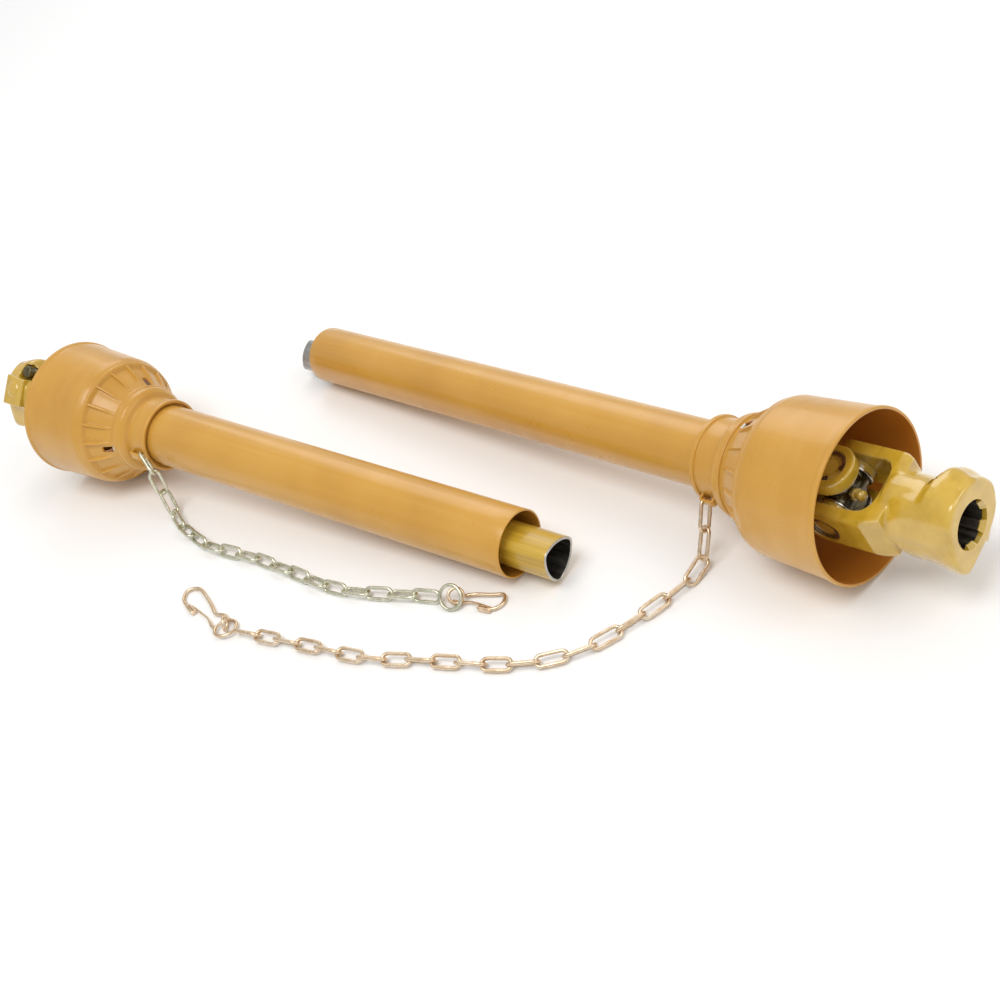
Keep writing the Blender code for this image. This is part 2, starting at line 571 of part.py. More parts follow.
def build_half(key):
    h = HALVES[key]
    mouth, end = Vector(h["mouth"]), Vector(h["end"])
    length = (mouth - end).length
    gx, gy, gz = half_axes(mouth - end)
    guard_frame = frame(gx, gy, gz, mouth)
    centre = mouth - gx * CROSS_BACK
    tube_tip = end - gz * h["droop"]
    dx, dy, dz = half_axes(centre - tube_tip)
    a = math.radians(h["ear_deg"])
    v1 = (dy * math.sin(a) + dz * math.cos(a)).normalized()
    drive_frame = frame(dx, v1, dx.cross(v1), centre)
    w2 = gx.cross(v1).normalized()
    yoke_frame = frame(gx, w2.cross(gx), w2, centre)
    cross_frame = frame(v1.cross(w2), v1, w2, centre)
    tag = "_" + key
    node("guard_bell" + tag, guard_bell(h), "guard_plastic", guard_frame)
    node("guard_tube" + tag, guard_tube(h, length), "guard_plastic", guard_frame)
    node("bearing_ring" + tag, bearing_ring(h), "nylon", guard_frame)
    node("tube_yoke" + tag, tube_yoke(h), "yoke_paint", drive_frame)
    node("profile_tube" + tag, profile_tube(h, length), "yoke_paint" if key == "a" else "bare_steel", drive_frame)
    node("roll_pin" + tag, roll_pin(), "bare_steel", drive_frame)
    node("cross" + tag, cross_body(), "bare_steel", cross_frame)
    node("grease_nipple" + tag, grease_nipple(), "bare_steel", cross_frame)
    for i, (ears, sign) in enumerate((("v", 1), ("v", -1), ("w", 1), ("w", -1))):
        fr = drive_frame if ears == "v" else yoke_frame
        node("cap_%d%s" % (i + 1, tag), bearing_cap(ears, sign), "bare_steel", fr)
        node("circlip_%d%s" % (i + 1, tag), circlip(ears, sign), "bare_steel", fr)
    node("end_yoke" + tag, end_yoke(), "yoke_paint", yoke_frame)
    node("push_pin" + tag, push_pin(), "bare_steel", yoke_frame)
    node("pin_spring" + tag, pin_spring(), "bare_steel", yoke_frame)
    for name, m in (("guard", guard_frame), ("drive", drive_frame), ("cross", cross_frame), ("end_yoke", yoke_frame)):
        print("FRAME", key, name, [[round(c, 7) for c in row] for row in m])


for half_key in ("a", "b"):
    build_half(half_key)

for key, route, mat in (("chain_a", CHAIN_A, "zinc_green"), ("chain_b", CHAIN_B, "zinc_gold")):
    line = [(x, y, max(z, CHAIN_D / 2 + 0.25)) for x, y, z in smooth_route(route, 2.3 * CHAIN_D)]
    wire(key, line, CHAIN_D, mat)
for key, centre, along, tilt in (("a", (104.0, -90.0, 8.0), (0.655, -0.755), 30.0),
                                 ("b", (-67.4, -195.0, 7.8), (0.985, 0.173), -27.0)):
    t = math.radians(tilt)
    side = Vector((-along[1] * math.cos(t), along[0] * math.cos(t), math.sin(t)))
    axis = Vector((along[0], along[1], 0)).cross(side)
    node("chain_ring_" + key, ring_mesh(centre, axis, 12.5, 1.6), "zinc_green" if key == "a" else "zinc_gold",
         Matrix.Translation(Vector(ORIGIN_SHIFT)), 180.0)
HOOK_D = 3.6
for hk in ("a", "b"):
    pts = smooth_route([(x, y, HOOK_D / 2 + 0.3) for x, y in hook_path(hk)], 5.0)
    wire("hook_" + hk, pts, HOOK_D, "zinc_gold")
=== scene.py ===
"""Looks for the two halves of a guarded tractor drive shaft lying on a pale floor."""

import math

import bmesh
import bpy
import numpy as np
from mathutils import Matrix, Vector


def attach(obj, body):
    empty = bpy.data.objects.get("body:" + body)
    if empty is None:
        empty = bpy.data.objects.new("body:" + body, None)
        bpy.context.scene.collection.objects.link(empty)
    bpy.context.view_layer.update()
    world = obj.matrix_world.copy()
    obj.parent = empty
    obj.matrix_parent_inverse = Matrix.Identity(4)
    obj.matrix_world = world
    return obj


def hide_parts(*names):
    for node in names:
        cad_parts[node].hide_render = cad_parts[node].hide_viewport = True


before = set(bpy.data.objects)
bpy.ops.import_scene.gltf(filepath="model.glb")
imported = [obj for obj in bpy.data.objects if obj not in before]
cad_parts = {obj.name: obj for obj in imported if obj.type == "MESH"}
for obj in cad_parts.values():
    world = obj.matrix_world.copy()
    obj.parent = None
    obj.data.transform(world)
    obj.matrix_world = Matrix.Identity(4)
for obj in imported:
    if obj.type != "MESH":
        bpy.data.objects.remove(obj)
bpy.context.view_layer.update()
MM = 0.001
SHIFT = Vector((-0.0000434, -0.0001357, 0.0000782))

# =================================================================== shared geometry (same numbers as the CAD)
HALVES = {
    "a": dict(mouth=(-400.34, -70.82, 64.70), end=(142.54, -35.13, 28.24), guard_r=28.3, tube_r=18.0, tube_lobe=1.0,
              tube_wall=3.2, tube_out=37.0, lobe_deg=40.0, droop=3.0, ear_deg=-99.5, slot_deg=80.0, lug_deg=85.0),
    "b": dict(mouth=(400.63, 69.95, 64.39), end=(-224.53, 108.97, 26.35), guard_r=26.4, tube_r=14.5, tube_lobe=0.8,
              tube_wall=4.0, tube_out=36.0, lobe_deg=15.0, droop=8.0, ear_deg=-14.5, slot_deg=1.0, lug_deg=-110.0),
}
CROSS_BACK = 19.5
CHAIN_Z = 4.8
CHAIN_A = [(-253.5, -101.5, 51.5), (-252.0, -103.6, 31.0), (-246.5, -106.6, 12.5), (-229.0, -115.6, CHAIN_Z),
           (-199.6, -123.3, CHAIN_Z), (-170.8, -127.6, CHAIN_Z), (-150.1, -126.4, CHAIN_Z), (-127.8, -123.6, CHAIN_Z),
           (-102.7, -121.6, CHAIN_Z), (-78.1, -121.2, CHAIN_Z), (-54.1, -121.0, CHAIN_Z), (-32.0, -121.2, CHAIN_Z),
           (-10.4, -120.6, CHAIN_Z), (8.6, -117.5, CHAIN_Z), (25.5, -113.3, CHAIN_Z), (43.9, -107.6, CHAIN_Z),
           (60.5, -101.9, CHAIN_Z), (76.0, -97.2, CHAIN_Z), (94.0, -92.2, CHAIN_Z)]
CHAIN_B = [(273.4, 38.4, 34.0), (275.0, 28.0, 18.0), (276.6, 17.0, 8.0), (277.0, 6.0, CHAIN_Z),
           (273.6, -10.5, CHAIN_Z), (267.6, -31.5, CHAIN_Z), (260.0, -51.8, CHAIN_Z), (251.6, -71.2, CHAIN_Z),
           (240.8, -89.3, CHAIN_Z), (226.0, -104.8, CHAIN_Z), (209.0, -117.4, CHAIN_Z), (189.1, -127.8, CHAIN_Z),
           (168.1, -135.7, CHAIN_Z), (146.0, -143.1, CHAIN_Z), (123.9, -150.6, CHAIN_Z), (101.6, -159.0, CHAIN_Z),
           (79.7, -166.6, CHAIN_Z), (57.0, -171.7, CHAIN_Z), (33.1, -175.6, CHAIN_Z), (9.1, -180.0, CHAIN_Z),
           (-14.1, -184.5, CHAIN_Z), (-34.0, -187.8, CHAIN_Z), (-60.5, -192.6, CHAIN_Z)]
BAR_TURN = math.radians(54.5)
PIN_U, PIN_P = 77.5, 21.5
HUB_END = 100.1
# outline of the hub seen from its face: (towards the pin, along the pin)
HUB_OVAL = [(33.5, 0.5), (32.5, 9.0), (26.0, 18.0), (19.0, 24.0), (10.8, 28.1), (-0.3, 28.6), (-8.0, 25.0), (-14.0, 20.5),
            (-25.5, 10.5), (-31.0, 0.5), (-33.0, -6.5), (-31.5, -10.5), (-24.6, -15.5), (-17.9, -19.8), (-7.9, -25.6),
            (5.8, -28.2), (16.1, -26.7), (26.6, -21.1), (31.0, -15.8), (33.4, -7.5)]


def unit(v):
    return Vector(v).normalized()


def half_axes(out):
    x = unit(out)
    up = Vector((0, 0, 1))
    z = (up - x * up.dot(x)).normalized()
    return x, z.cross(x), z


def frame_of(x, y, z, origin):
    m = Matrix((x, y, z)).transposed().to_4x4()
    m.translation = Vector(origin) * MM + SHIFT
    return m


def half_frames(h):
    mouth, end = Vector(h["mouth"]), Vector(h["end"])
    gx, gy, gz = half_axes(mouth - end)
    centre = mouth - gx * CROSS_BACK
    dx, dy, dz = half_axes(centre - (end - gz * h["droop"]))
    a = math.radians(h["ear_deg"])
    v1 = (dy * math.sin(a) + dz * math.cos(a)).normalized()
    w2 = gx.cross(v1).normalized()
    return dict(guard=frame_of(gx, gy, gz, mouth), drive=frame_of(dx, v1, dx.cross(v1), centre),
                yoke=frame_of(gx, w2.cross(gx), w2, centre), cross=frame_of(v1.cross(w2), v1, w2, centre),
                length=(mouth - end).length)


# =================================================================== camera, light, floor
def make_camera():
    fwd = Vector((-0.64309526, 0.45197492, -0.61818052)).normalized()
    right = Vector((0.7310104, 0.60282765, -0.31972271))
    right = (right - fwd * right.dot(fwd)).normalized()
    up = right.cross(fwd)
    m = Matrix((right, up, -fwd)).transposed().to_4x4()
    m.translation = Vector((0.9015, -0.5687, 0.8060)) + SHIFT
    data = bpy.data.cameras.new("camera")
    data.sensor_width = 36.0
    data.lens = 55.54
    data.clip_start, data.clip_end = 0.05, 50.0
    cam = bpy.data.objects.new("camera", data)
    bpy.context.scene.collection.objects.link(cam)
    cam.matrix_world = m
    bpy.context.scene.camera = cam
    bpy.context.scene.view_settings.view_transform = 'Standard'


def area(name, loc, target, size, power, colour=(1, 1, 1), size_y=None):
    d = bpy.data.lights.new(name, 'AREA')
    d.shape = 'RECTANGLE'
    d.size, d.size_y = size, size_y or size
    d.energy = power
    d.color = colour
    o = bpy.data.objects.new(name, d)
    bpy.context.scene.collection.objects.link(o)
    o.location = loc
    o.rotation_mode = 'QUATERNION'
    o.rotation_quaternion = (Vector(target) - Vector(loc)).to_track_quat('-Z', 'Y')
    return o


def make_stage():
    me = bpy.data.meshes.new("floor")
    s = 14.0
    me.from_pydata([(-s, -s, -0.0002), (s, -s, -0.0002), (s, s, -0.0002), (-s, s, -0.0002)], [], [(0, 1, 2, 3)])
    o = bpy.data.objects.new("floor", me)
    bpy.context.scene.collection.objects.link(o)
    m = bpy.data.materials.new("floor")
    m.use_nodes = True
    b = m.node_tree.nodes["Principled BSDF"]
    b.inputs["Base Color"].default_value = (0.93, 0.93, 0.93, 1)
    b.inputs["Roughness"].default_value = 0.85
    b.inputs["Specular IOR Level"].default_value = 0.2
    me.materials.append(m)
    w = bpy.data.worlds.new("studio")
    w.use_nodes = True
    w.node_tree.nodes["Background"].inputs["Color"].default_value = (1.0, 1.0, 1.0, 1)
    w.node_tree.nodes["Background"].inputs["Strength"].default_value = 0.62
    bpy.context.scene.world = w
    area("key", (0.2, -0.9, 2.6), (0, 0, 0), 1.8, 34, (1.0, 0.99, 0.97), 1.2)
    area("fill", (1.9, 0.7, 1.6), (0.1, 0, 0), 1.4, 12)
    area("back", (-1.4, 1.6, 1.7), (0, 0, 0), 1.6, 14)


# =================================================================== materials
class Mat:
    def __init__(self, name):
        self.m = bpy.data.materials.new(name)
        self.m.use_nodes = True
        self.t = self.m.node_tree
        self.b = self.t.nodes["Principled BSDF"]
        self.co = self.t.nodes.new("ShaderNodeTexCoord").outputs["Object"]

    def link(self, a, b):
        self.t.links.new(a, b)

    def set(self, **kw):
        for k, v in kw.items():
            self.b.inputs[k.replace("_", " ")].default_value = v
        return self

    def mapped(self, scale):
        n = self.t.nodes.new("ShaderNodeMapping")
        n.inputs["Scale"].default_value = scale
        self.link(self.co, n.inputs["Vector"])
        return n.outputs["Vector"]

    def noise(self, scale, detail=3.0, rough=0.5, vec=None, distortion=0.0):
        n = self.t.nodes.new("ShaderNodeTexNoise")
        n.inputs["Scale"].default_value = scale
        n.inputs["Detail"].default_value = detail
        n.inputs["Roughness"].default_value = rough
        n.inputs["Distortion"].default_value = distortion
        self.link(vec or self.co, n.inputs["Vector"])
        return n.outputs["Fac"]

    def voronoi(self, scale, vec=None, feature='F1'):
        n = self.t.nodes.new("ShaderNodeTexVoronoi")
        n.feature = feature
        n.inputs["Scale"].default_value = scale
        self.link(vec or self.co, n.inputs["Vector"])
        return n.outputs["Distance"]

    def ramp(self, fac, stops):
        n = self.t.nodes.new("ShaderNodeValToRGB")
        e = n.color_ramp.elements
        while len(e) > len(stops):
            e.remove(e[-1])
        while len(e) < len(stops):
            e.new(0.5)
        for el, (p, c) in zip(e, stops):
            el.position = p
            el.color = (*c, 1) if len(c) == 3 else c
        self.link(fac, n.inputs["Fac"])
        return n.outputs["Color"]

    def remap(self, fac, lo, hi, a=0.0, b=1.0):
        n = self.t.nodes.new("ShaderNodeMapRange")
        n.inputs["From Min"].default_value = a
        n.inputs["From Max"].default_value = b
        n.inputs["To Min"].default_value = lo
        n.inputs["To Max"].default_value = hi
        self.link(fac, n.inputs["Value"])
        return n.outputs["Result"]

    def math(self, op, a, b=None, clamp=False):
        n = self.t.nodes.new("ShaderNodeMath")
        n.operation = op
        n.use_clamp = clamp
        for i, v in enumerate((a, b)):
            if v is None:
                continue
            if isinstance(v, (int, float)):
                n.inputs[i].default_value = v
            else:
                self.link(v, n.inputs[i])
        return n.outputs[0]

    def mix(self, fac, a, b, mode='MIX'):
        n = self.t.nodes.new("ShaderNodeMix")
        n.data_type = 'RGBA'
        n.blend_type = mode
        for sock, v in ((n.inputs[0], fac), (n.inputs[6], a), (n.inputs[7], b)):
            if isinstance(v, (int, float)):
                sock.default_value = v
            elif isinstance(v, tuple):
                sock.default_value = (*v, 1)
            else:
                self.link(v, sock)
        return n.outputs[2]

    def bump(self, pairs):
        """Stack of (height, strength, distance) bumps."""
        prev = None
        for h, s, d in pairs:
            n = self.t.nodes.new("ShaderNodeBump")
            n.inputs["Strength"].default_value = s
            n.inputs["Distance"].default_value = d
            self.link(h, n.inputs["Height"])
            if prev is not None:
                self.link(prev, n.inputs["Normal"])
            prev = n.outputs["Normal"]
        self.link(prev, self.b.inputs["Normal"])
        return self

    def pointiness(self):
        return self.t.nodes.new("ShaderNodeNewGeometry").outputs["Pointiness"]


def guard_plastic(name, streaks, shade_tint=(1.0, 1.0, 1.0)):
    m = Mat(name)
    m.set(IOR=1.49, Specular_IOR_Level=0.45, Coat_Weight=0.30, Coat_Roughness=0.14)
    m.set(Subsurface_Weight=0.04, Subsurface_Scale=0.003, Subsurface_Radius=(1.0, 0.5, 0.15))
    big = m.noise(9.0, 3.0, 0.55)
    tints = [(0.30, (0.515, 0.256, 0.035)), (0.52, (0.580, 0.298, 0.042)), (0.75, (0.630, 0.338, 0.058))]
    # The last argument darkens and reddens the tints and weakens the streaks: painted shade for the faces inside the
    # bell.
    col = m.ramp(big, [(at, tuple(c * d for c, d in zip(tint, shade_tint))) for at, tint in tints])
    if streaks:
        run = m.noise(1.0, 4.0, 0.6, m.mapped((3.0, 240.0, 240.0)))
    else:
        run = m.noise(1.0, 4.0, 0.6, m.mapped((60.0, 14.0, 14.0)), 0.4)
    col = m.mix(m.remap(run, 0.0, 0.11 * shade_tint[2], 0.45, 0.75), col, (0.82, 0.54, 0.18))
    speck = m.voronoi(900.0)
    col = m.mix(m.remap(speck, 0.10, 0.0, 0.0, 0.18), col, (0.38, 0.19, 0.04))
    m.link(col, m.b.inputs["Base Color"])
    m.link(m.remap(m.noise(55.0, 4.0, 0.6), 0.26, 0.42, 0.3, 0.7), m.b.inputs["Roughness"])
    m.bump([(m.noise(26.0, 2.0, 0.5), 0.12, 0.002), (run, 0.10, 0.0006), (m.noise(1500.0, 2.0, 0.5), 0.10, 0.00012)])
    return m.m


def yoke_paint():
    m = Mat("yoke_paint")
    m.set(IOR=1.52, Specular_IOR_Level=0.55, Coat_Weight=0.85, Coat_Roughness=0.06)
    big = m.noise(60.0, 3.0, 0.6)
    col = m.ramp(big, [(0.28, (0.500, 0.305, 0.022)), (0.50, (0.590, 0.365, 0.032)), (0.78, (0.660, 0.430, 0.060))])
    p = m.pointiness()
    # paler on convex edges: a painted edge highlight
    col = m.mix(m.remap(p, 0.0, 0.45, 0.515, 0.56), col, (0.74, 0.60, 0.24))
    # near-black in concave creases and hollows: painted shade
    col = m.mix(m.remap(p, 0.55, 0.0, 0.38, 0.475), col, (0.16, 0.10, 0.018))
    m.link(col, m.b.inputs["Base Color"])
    m.link(m.remap(m.noise(140.0, 4.0, 0.6), 0.14, 0.32, 0.3, 0.75), m.b.inputs["Roughness"])
    m.bump([(m.noise(85.0, 3.0, 0.55), 0.35, 0.0014), (m.noise(420.0, 3.0, 0.6), 0.22, 0.00035)])
    return m.m


def tube_paint():
    m = Mat("tube_paint")
    m.set(IOR=1.5, Coat_Weight=0.4, Coat_Roughness=0.14)
    run = m.noise(1.0, 4.0, 0.6, m.mapped((5.0, 300.0, 300.0)))
    col = m.ramp(run, [(0.3, (0.400, 0.245, 0.020)), (0.5, (0.540, 0.330, 0.026)), (0.75, (0.640, 0.415, 0.060))])
    m.link(col, m.b.inputs["Base Color"])
    m.link(m.remap(run, 0.28, 0.5, 0.3, 0.7), m.b.inputs["Roughness"])
    m.bump([(run, 0.25, 0.0004), (m.noise(600.0, 3.0, 0.6), 0.2, 0.0002)])
    return m.m


def steel(name, dark, light, rough=(0.28, 0.48), grain=(300.0, 300.0, 300.0), metallic=1.0):
    m = Mat(name)
    m.set(Metallic=metallic)
    g = m.noise(1.0, 4.0, 0.6, m.mapped(grain))
    big = m.noise(70.0, 3.0, 0.6)
    col = m.ramp(m.math('ADD', m.math('MULTIPLY', g, 0.6), m.math('MULTIPLY', big, 0.4)),
                 [(0.32, dark), (0.68, light)])
    m.link(col, m.b.inputs["Base Color"])
    m.link(m.remap(g, rough[0], rough[1], 0.3, 0.7), m.b.inputs["Roughness"])
    m.bump([(g, 0.18, 0.0003)])
    return m.m


def zinc(name, tints):
    m = Mat(name)
    m.set(Metallic=1.0)
    cell = m.noise(110.0, 3.0, 0.6, None, 0.6)
    col = m.ramp(cell, [(0.25, tints[0]), (0.5, tints[1]), (0.75, tints[2])])
    m.link(col, m.b.inputs["Base Color"])
    m.link(m.remap(m.noise(500.0, 3.0, 0.6), 0.22, 0.42, 0.3, 0.7), m.b.inputs["Roughness"])
    m.bump([(m.noise(380.0, 3.0, 0.6), 0.2, 0.0002)])
    return m.m


def nylon():
    m = Mat("nylon")
    m.set(IOR=1.53, Subsurface_Weight=0.25, Subsurface_Scale=0.003, Subsurface_Radius=(1.0, 0.95, 0.85))
    n = m.noise(60.0, 3.0, 0.6)
    m.link(m.ramp(n, [(0.3, (0.70, 0.69, 0.63)), (0.7, (0.82, 0.81, 0.76))]), m.b.inputs["Base Color"])
    m.link(m.remap(n, 0.35, 0.5), m.b.inputs["Roughness"])
    m.bump([(m.noise(500.0, 2.0, 0.5), 0.1, 0.0002)])
    return m.m


# =================================================================== mesh helpers (millimetres in, metres out)
def to_mesh(verts, faces, name="m"):
    me = bpy.data.meshes.new(name)
    me.from_pydata([tuple(float(c) * MM for c in v) for v in verts], [], faces)
    bm = bmesh.new()
    bm.from_mesh(me)
    bmesh.ops.recalc_face_normals(bm, faces=bm.faces)
    bm.to_mesh(me)
    bm.free()
    return me


def rounded(points, segs=5, closed=True):
    """Corner-rounded polyline; each point is (x, y, radius)."""
    out = []
    n = len(points)
    for i, (px, py, rad) in enumerate(points):
        if not closed and i in (0, n - 1) or rad <= 0:
            out.append((px, py))
            continue
        p = Vector((px, py))
        a = Vector(points[i - 1][:2]) - p
        b = Vector(points[(i + 1) % n][:2]) - p
        la, lb = a.length, b.length
        a.normalize()
        b.normalize()
        ang = math.acos(max(-1, min(1, a.dot(b))))
        if ang > math.pi - 0.02:
            out.append((px, py))
            continue
        t = min(rad / math.tan(ang / 2), 0.46 * la, 0.46 * lb)
        r = t * math.tan(ang / 2)
        c = p + (a + b).normalized() * (r / math.sin(ang / 2))
        s, e = p + a * t - c, p + b * t - c
        a0 = math.atan2(s.y, s.x)
        d = (math.atan2(e.y, e.x) - a0 + math.pi) % (2 * math.pi) - math.pi
        for k in range(segs + 1):
            q = a0 + d * k / segs
            out.append((c.x + r * math.cos(q), c.y + r * math.sin(q)))
    return out


def divided(loop, longest):
    """Splits edges longer than the limit."""
    out = []
    for i, p in enumerate(loop):
        q = loop[(i + 1) % len(loop)]
        k = max(1, int(math.ceil(math.hypot(q[0] - p[0], q[1] - p[1]) / longest)))
        out += [(p[0] + (q[0] - p[0]) * j / k, p[1] + (q[1] - p[1]) * j / k) for j in range(k)]
    return out


def lathe(loop, segs, phase=0.0):
    solid = loop[0][1] == 0 and loop[-1][1] == 0
    ring = loop[1:-1] if solid else loop
    ang = [2 * math.pi * k / segs + math.radians(phase) for k in range(segs)]
    verts = [(x, r * math.sin(a), r * math.cos(a)) for x, r in ring for a in ang]
    n = len(ring)
    faces = []
    for i in range(n - 1 if solid else n):
        j = (i + 1) % n
        for k in range(segs):
            q = (k + 1) % segs
            faces.append((i * segs + k, i * segs + q, j * segs + q, j * segs + k))
    if solid:
        faces += [tuple(range(segs)), tuple(range((n - 1) * segs, n * segs))]
    return to_mesh(verts, faces)


def prism(poly, lo, hi, place):
    n = len(poly)
    verts = [place(a, b, lo) for a, b in poly] + [place(a, b, hi) for a, b in poly]
    faces = [tuple(range(n)), tuple(range(n, 2 * n))]
    faces += [(i, (i + 1) % n, n + (i + 1) % n, n + i) for i in range(n)]
    return to_mesh(verts, faces)


def long_prism(poly, levels, place):
    """Prism whose sides are split at each level."""
    n = len(poly)
    verts = [place(a, b, c) for c in levels for a, b in poly]
    last = (len(levels) - 1) * n
    faces = [tuple(range(n)), tuple(range(last, last + n))]
    for i in range(len(levels) - 1):
        faces += [(i * n + k, i * n + (k + 1) % n, (i + 1) * n + (k + 1) % n, (i + 1) * n + k) for k in range(n)]
    return to_mesh(verts, faces)


def rod(radius, lo, hi, segs, place):
    pts = [(radius * math.cos(2 * math.pi * k / segs), radius * math.sin(2 * math.pi * k / segs)) for k in range(segs)]
    return prism(pts, lo, hi, place)


def temp(me):
    o = bpy.data.objects.new("tool", me)
    bpy.context.scene.collection.objects.link(o)
    return o


def bake(o, others=()):
    bpy.context.view_layer.update()
    out = bpy.data.meshes.new_from_object(o.evaluated_get(bpy.context.evaluated_depsgraph_get()))
    for x in (o, *others):
        bpy.data.objects.remove(x, do_unlink=True)
    out.materials.clear()
    return out


def combine(me, tools, op, solver='EXACT'):
    base, objs = temp(me), []
    for tool in tools:
        t = temp(tool)
        objs.append(t)
        m = base.modifiers.new("b", 'BOOLEAN')
        m.solver, m.operation, m.object = solver, op, t
    return bake(base, objs)


def soften(me, voxel, smooth=6, factor=0.5):
    """Even skin over a block-built solid, with its edges drawn in like a forging's."""
    o = temp(me)
    r = o.modifiers.new("r", 'REMESH')
    r.mode, r.voxel_size, r.adaptivity = 'VOXEL', voxel * MM, 0.0
    s = o.modifiers.new("s", 'SMOOTH')
    s.factor, s.iterations = factor, smooth
    return bake(o)


def joined(meshes):
    bm = bmesh.new()
    for me in meshes:
        bm.from_mesh(me)
    out = bpy.data.meshes.new("j")
    bm.to_mesh(out)
    bm.free()
    return out


def sweep(points, section, closed=False, up=None, caps=True):
    """Tube through points; section is a list of (a, b) offsets, or of such lists, one for each point."""
    p = [Vector(q) for q in points]
    n = len(p)
    tang = []
    for i in range(n):
        a = p[(i - 1) % n] if closed or i else p[0]
        b = p[(i + 1) % n] if closed or i < n - 1 else p[-1]
        tang.append((b - a).normalized())
    ref = Vector(up) if up else tang[0].orthogonal()
    frames = []
    v = (ref - tang[0] * ref.dot(tang[0])).normalized()
    for i in range(n):
        if up:
            w = Vector(up)
            v = (w - tang[i] * w.dot(tang[i])).normalized()
        else:
            v = (v - tang[i] * v.dot(tang[i])).normalized()
        frames.append((v, tang[i].cross(v)))
    many = isinstance(section[0][0], (list, tuple))
    verts, faces = [], []
    m = len(section[0]) if many else len(section)
    for i in range(n):
        sec = section[i] if many else section
        e1, e2 = frames[i]
        verts += [tuple(p[i] + e1 * a + e2 * b) for a, b in sec]
    for i in range(n if closed else n - 1):
        j = (i + 1) % n
        for k in range(m):
            q = (k + 1) % m
            faces.append((i * m + k, i * m + q, j * m + q, j * m + k))
    if not closed and caps:
        faces += [tuple(range(m)), tuple(range((n - 1) * m, n * m))]
    return to_mesh(verts, faces)


def circle(r, n=12, flat=1.0):
    return [(r * math.cos(2 * math.pi * k / n), flat * r * math.sin(2 * math.pi * k / n)) for k in range(n)]


def round_ends(points, r, n=12, steps=4):
    """Section list for sweep that domes both ends of a wire."""
    pts = [Vector(p) for p in points]
    head = (pts[0] - pts[1]).normalized()
    tail = (pts[-1] - pts[-2]).normalized()
    out, secs = [], []
    for k in range(steps):
        a = math.pi / 2 * (k + 0.25) / steps
        out.append(pts[0] + head * (r * math.cos(a) * 0.7))
        secs.append(circle(r * math.sin(a), n))
    out += pts
    secs += [circle(r, n)] * len(pts)
    for k in reversed(range(steps)):
        a = math.pi / 2 * (k + 0.25) / steps
        out.append(pts[-1] + tail * (r * math.cos(a) * 0.7))
        secs.append(circle(r * math.sin(a), n))
    return out, secs


def smooth_route(points, spacing):
    p = [np.array(q, float) for q in points]
    p = [2 * p[0] - p[1]] + p + [2 * p[-1] - p[-2]]
    fine = []
    for i in range(1, len(p) - 2):
        t = [0.0]
        for a, b in zip(p[i - 1:i + 2], p[i:i + 3]):
            t.append(t[-1] + max(np.linalg.norm(b - a), 1e-6) ** 0.5)
        for s in np.linspace(t[1], t[2], 24, endpoint=False):
            c = p[i - 1:i + 3]
            lv = [((t[k + 1] - s) * c[k] + (s - t[k]) * c[k + 1]) / (t[k + 1] - t[k]) for k in range(3)]
            l2 = [((t[k + 2] - s) * lv[k] + (s - t[k]) * lv[k + 1]) / (t[k + 2] - t[k]) for k in range(2)]
            fine.append(((t[2] - s) * l2[0] + (s - t[1]) * l2[1]) / (t[2] - t[1]))
    fine.append(p[-2])
    fine = np.array(fine)
    run = np.concatenate([[0], np.cumsum(np.linalg.norm(np.diff(fine, axis=0), axis=1))])
    count = max(2, int(round(run[-1] / spacing)))
    at = np.linspace(0, run[-1], count + 1)
    return [tuple(float(np.interp(a, run, fine[:, k])) for k in range(3)) for a in at]


def piece(name, me, mats, matrix, body, nodes=(), angle=32.0):
    me.name = name
    which = [0] * len(me.polygons)
    me.polygons.foreach_get("material_index", which)
    me.materials.clear()
    for m in (mats if isinstance(mats, (list, tuple)) else [mats]):
        me.materials.append(m)
    me.polygons.foreach_set("material_index", which)
    me.set_sharp_from_angle(angle=math.radians(angle))
    me.polygons.foreach_set("use_smooth", [True] * len(me.polygons))
    o = bpy.data.objects.new(name, me)
    bpy.context.scene.collection.objects.link(o)
    o.matrix_world = matrix
    bpy.context.view_layer.update()
    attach(o, body)
    if nodes:
        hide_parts(*nodes)
    return o


# =================================================================== guard
RIBS, RIB_FIRST = 18, 11.0
RIB_COLS = [(-2.9, 0), (-1.9, 0.0), (-1.5, 0.06), (-1.28, 0.30), (-1.12, 0.76), (-0.88, 0.95), (-0.4, 1.0),
            (0.4, 1.0), (0.88, 0.95), (1.12, 0.76), (1.28, 0.30), (1.5, 0.06), (1.9, 0.0), (2.9, 0)]


def rib_top(s):
    return float(np.interp(s, (75.9, 86.0, 92.0, 97.5), (56.1, 50.3, 46.1, 40.9)))


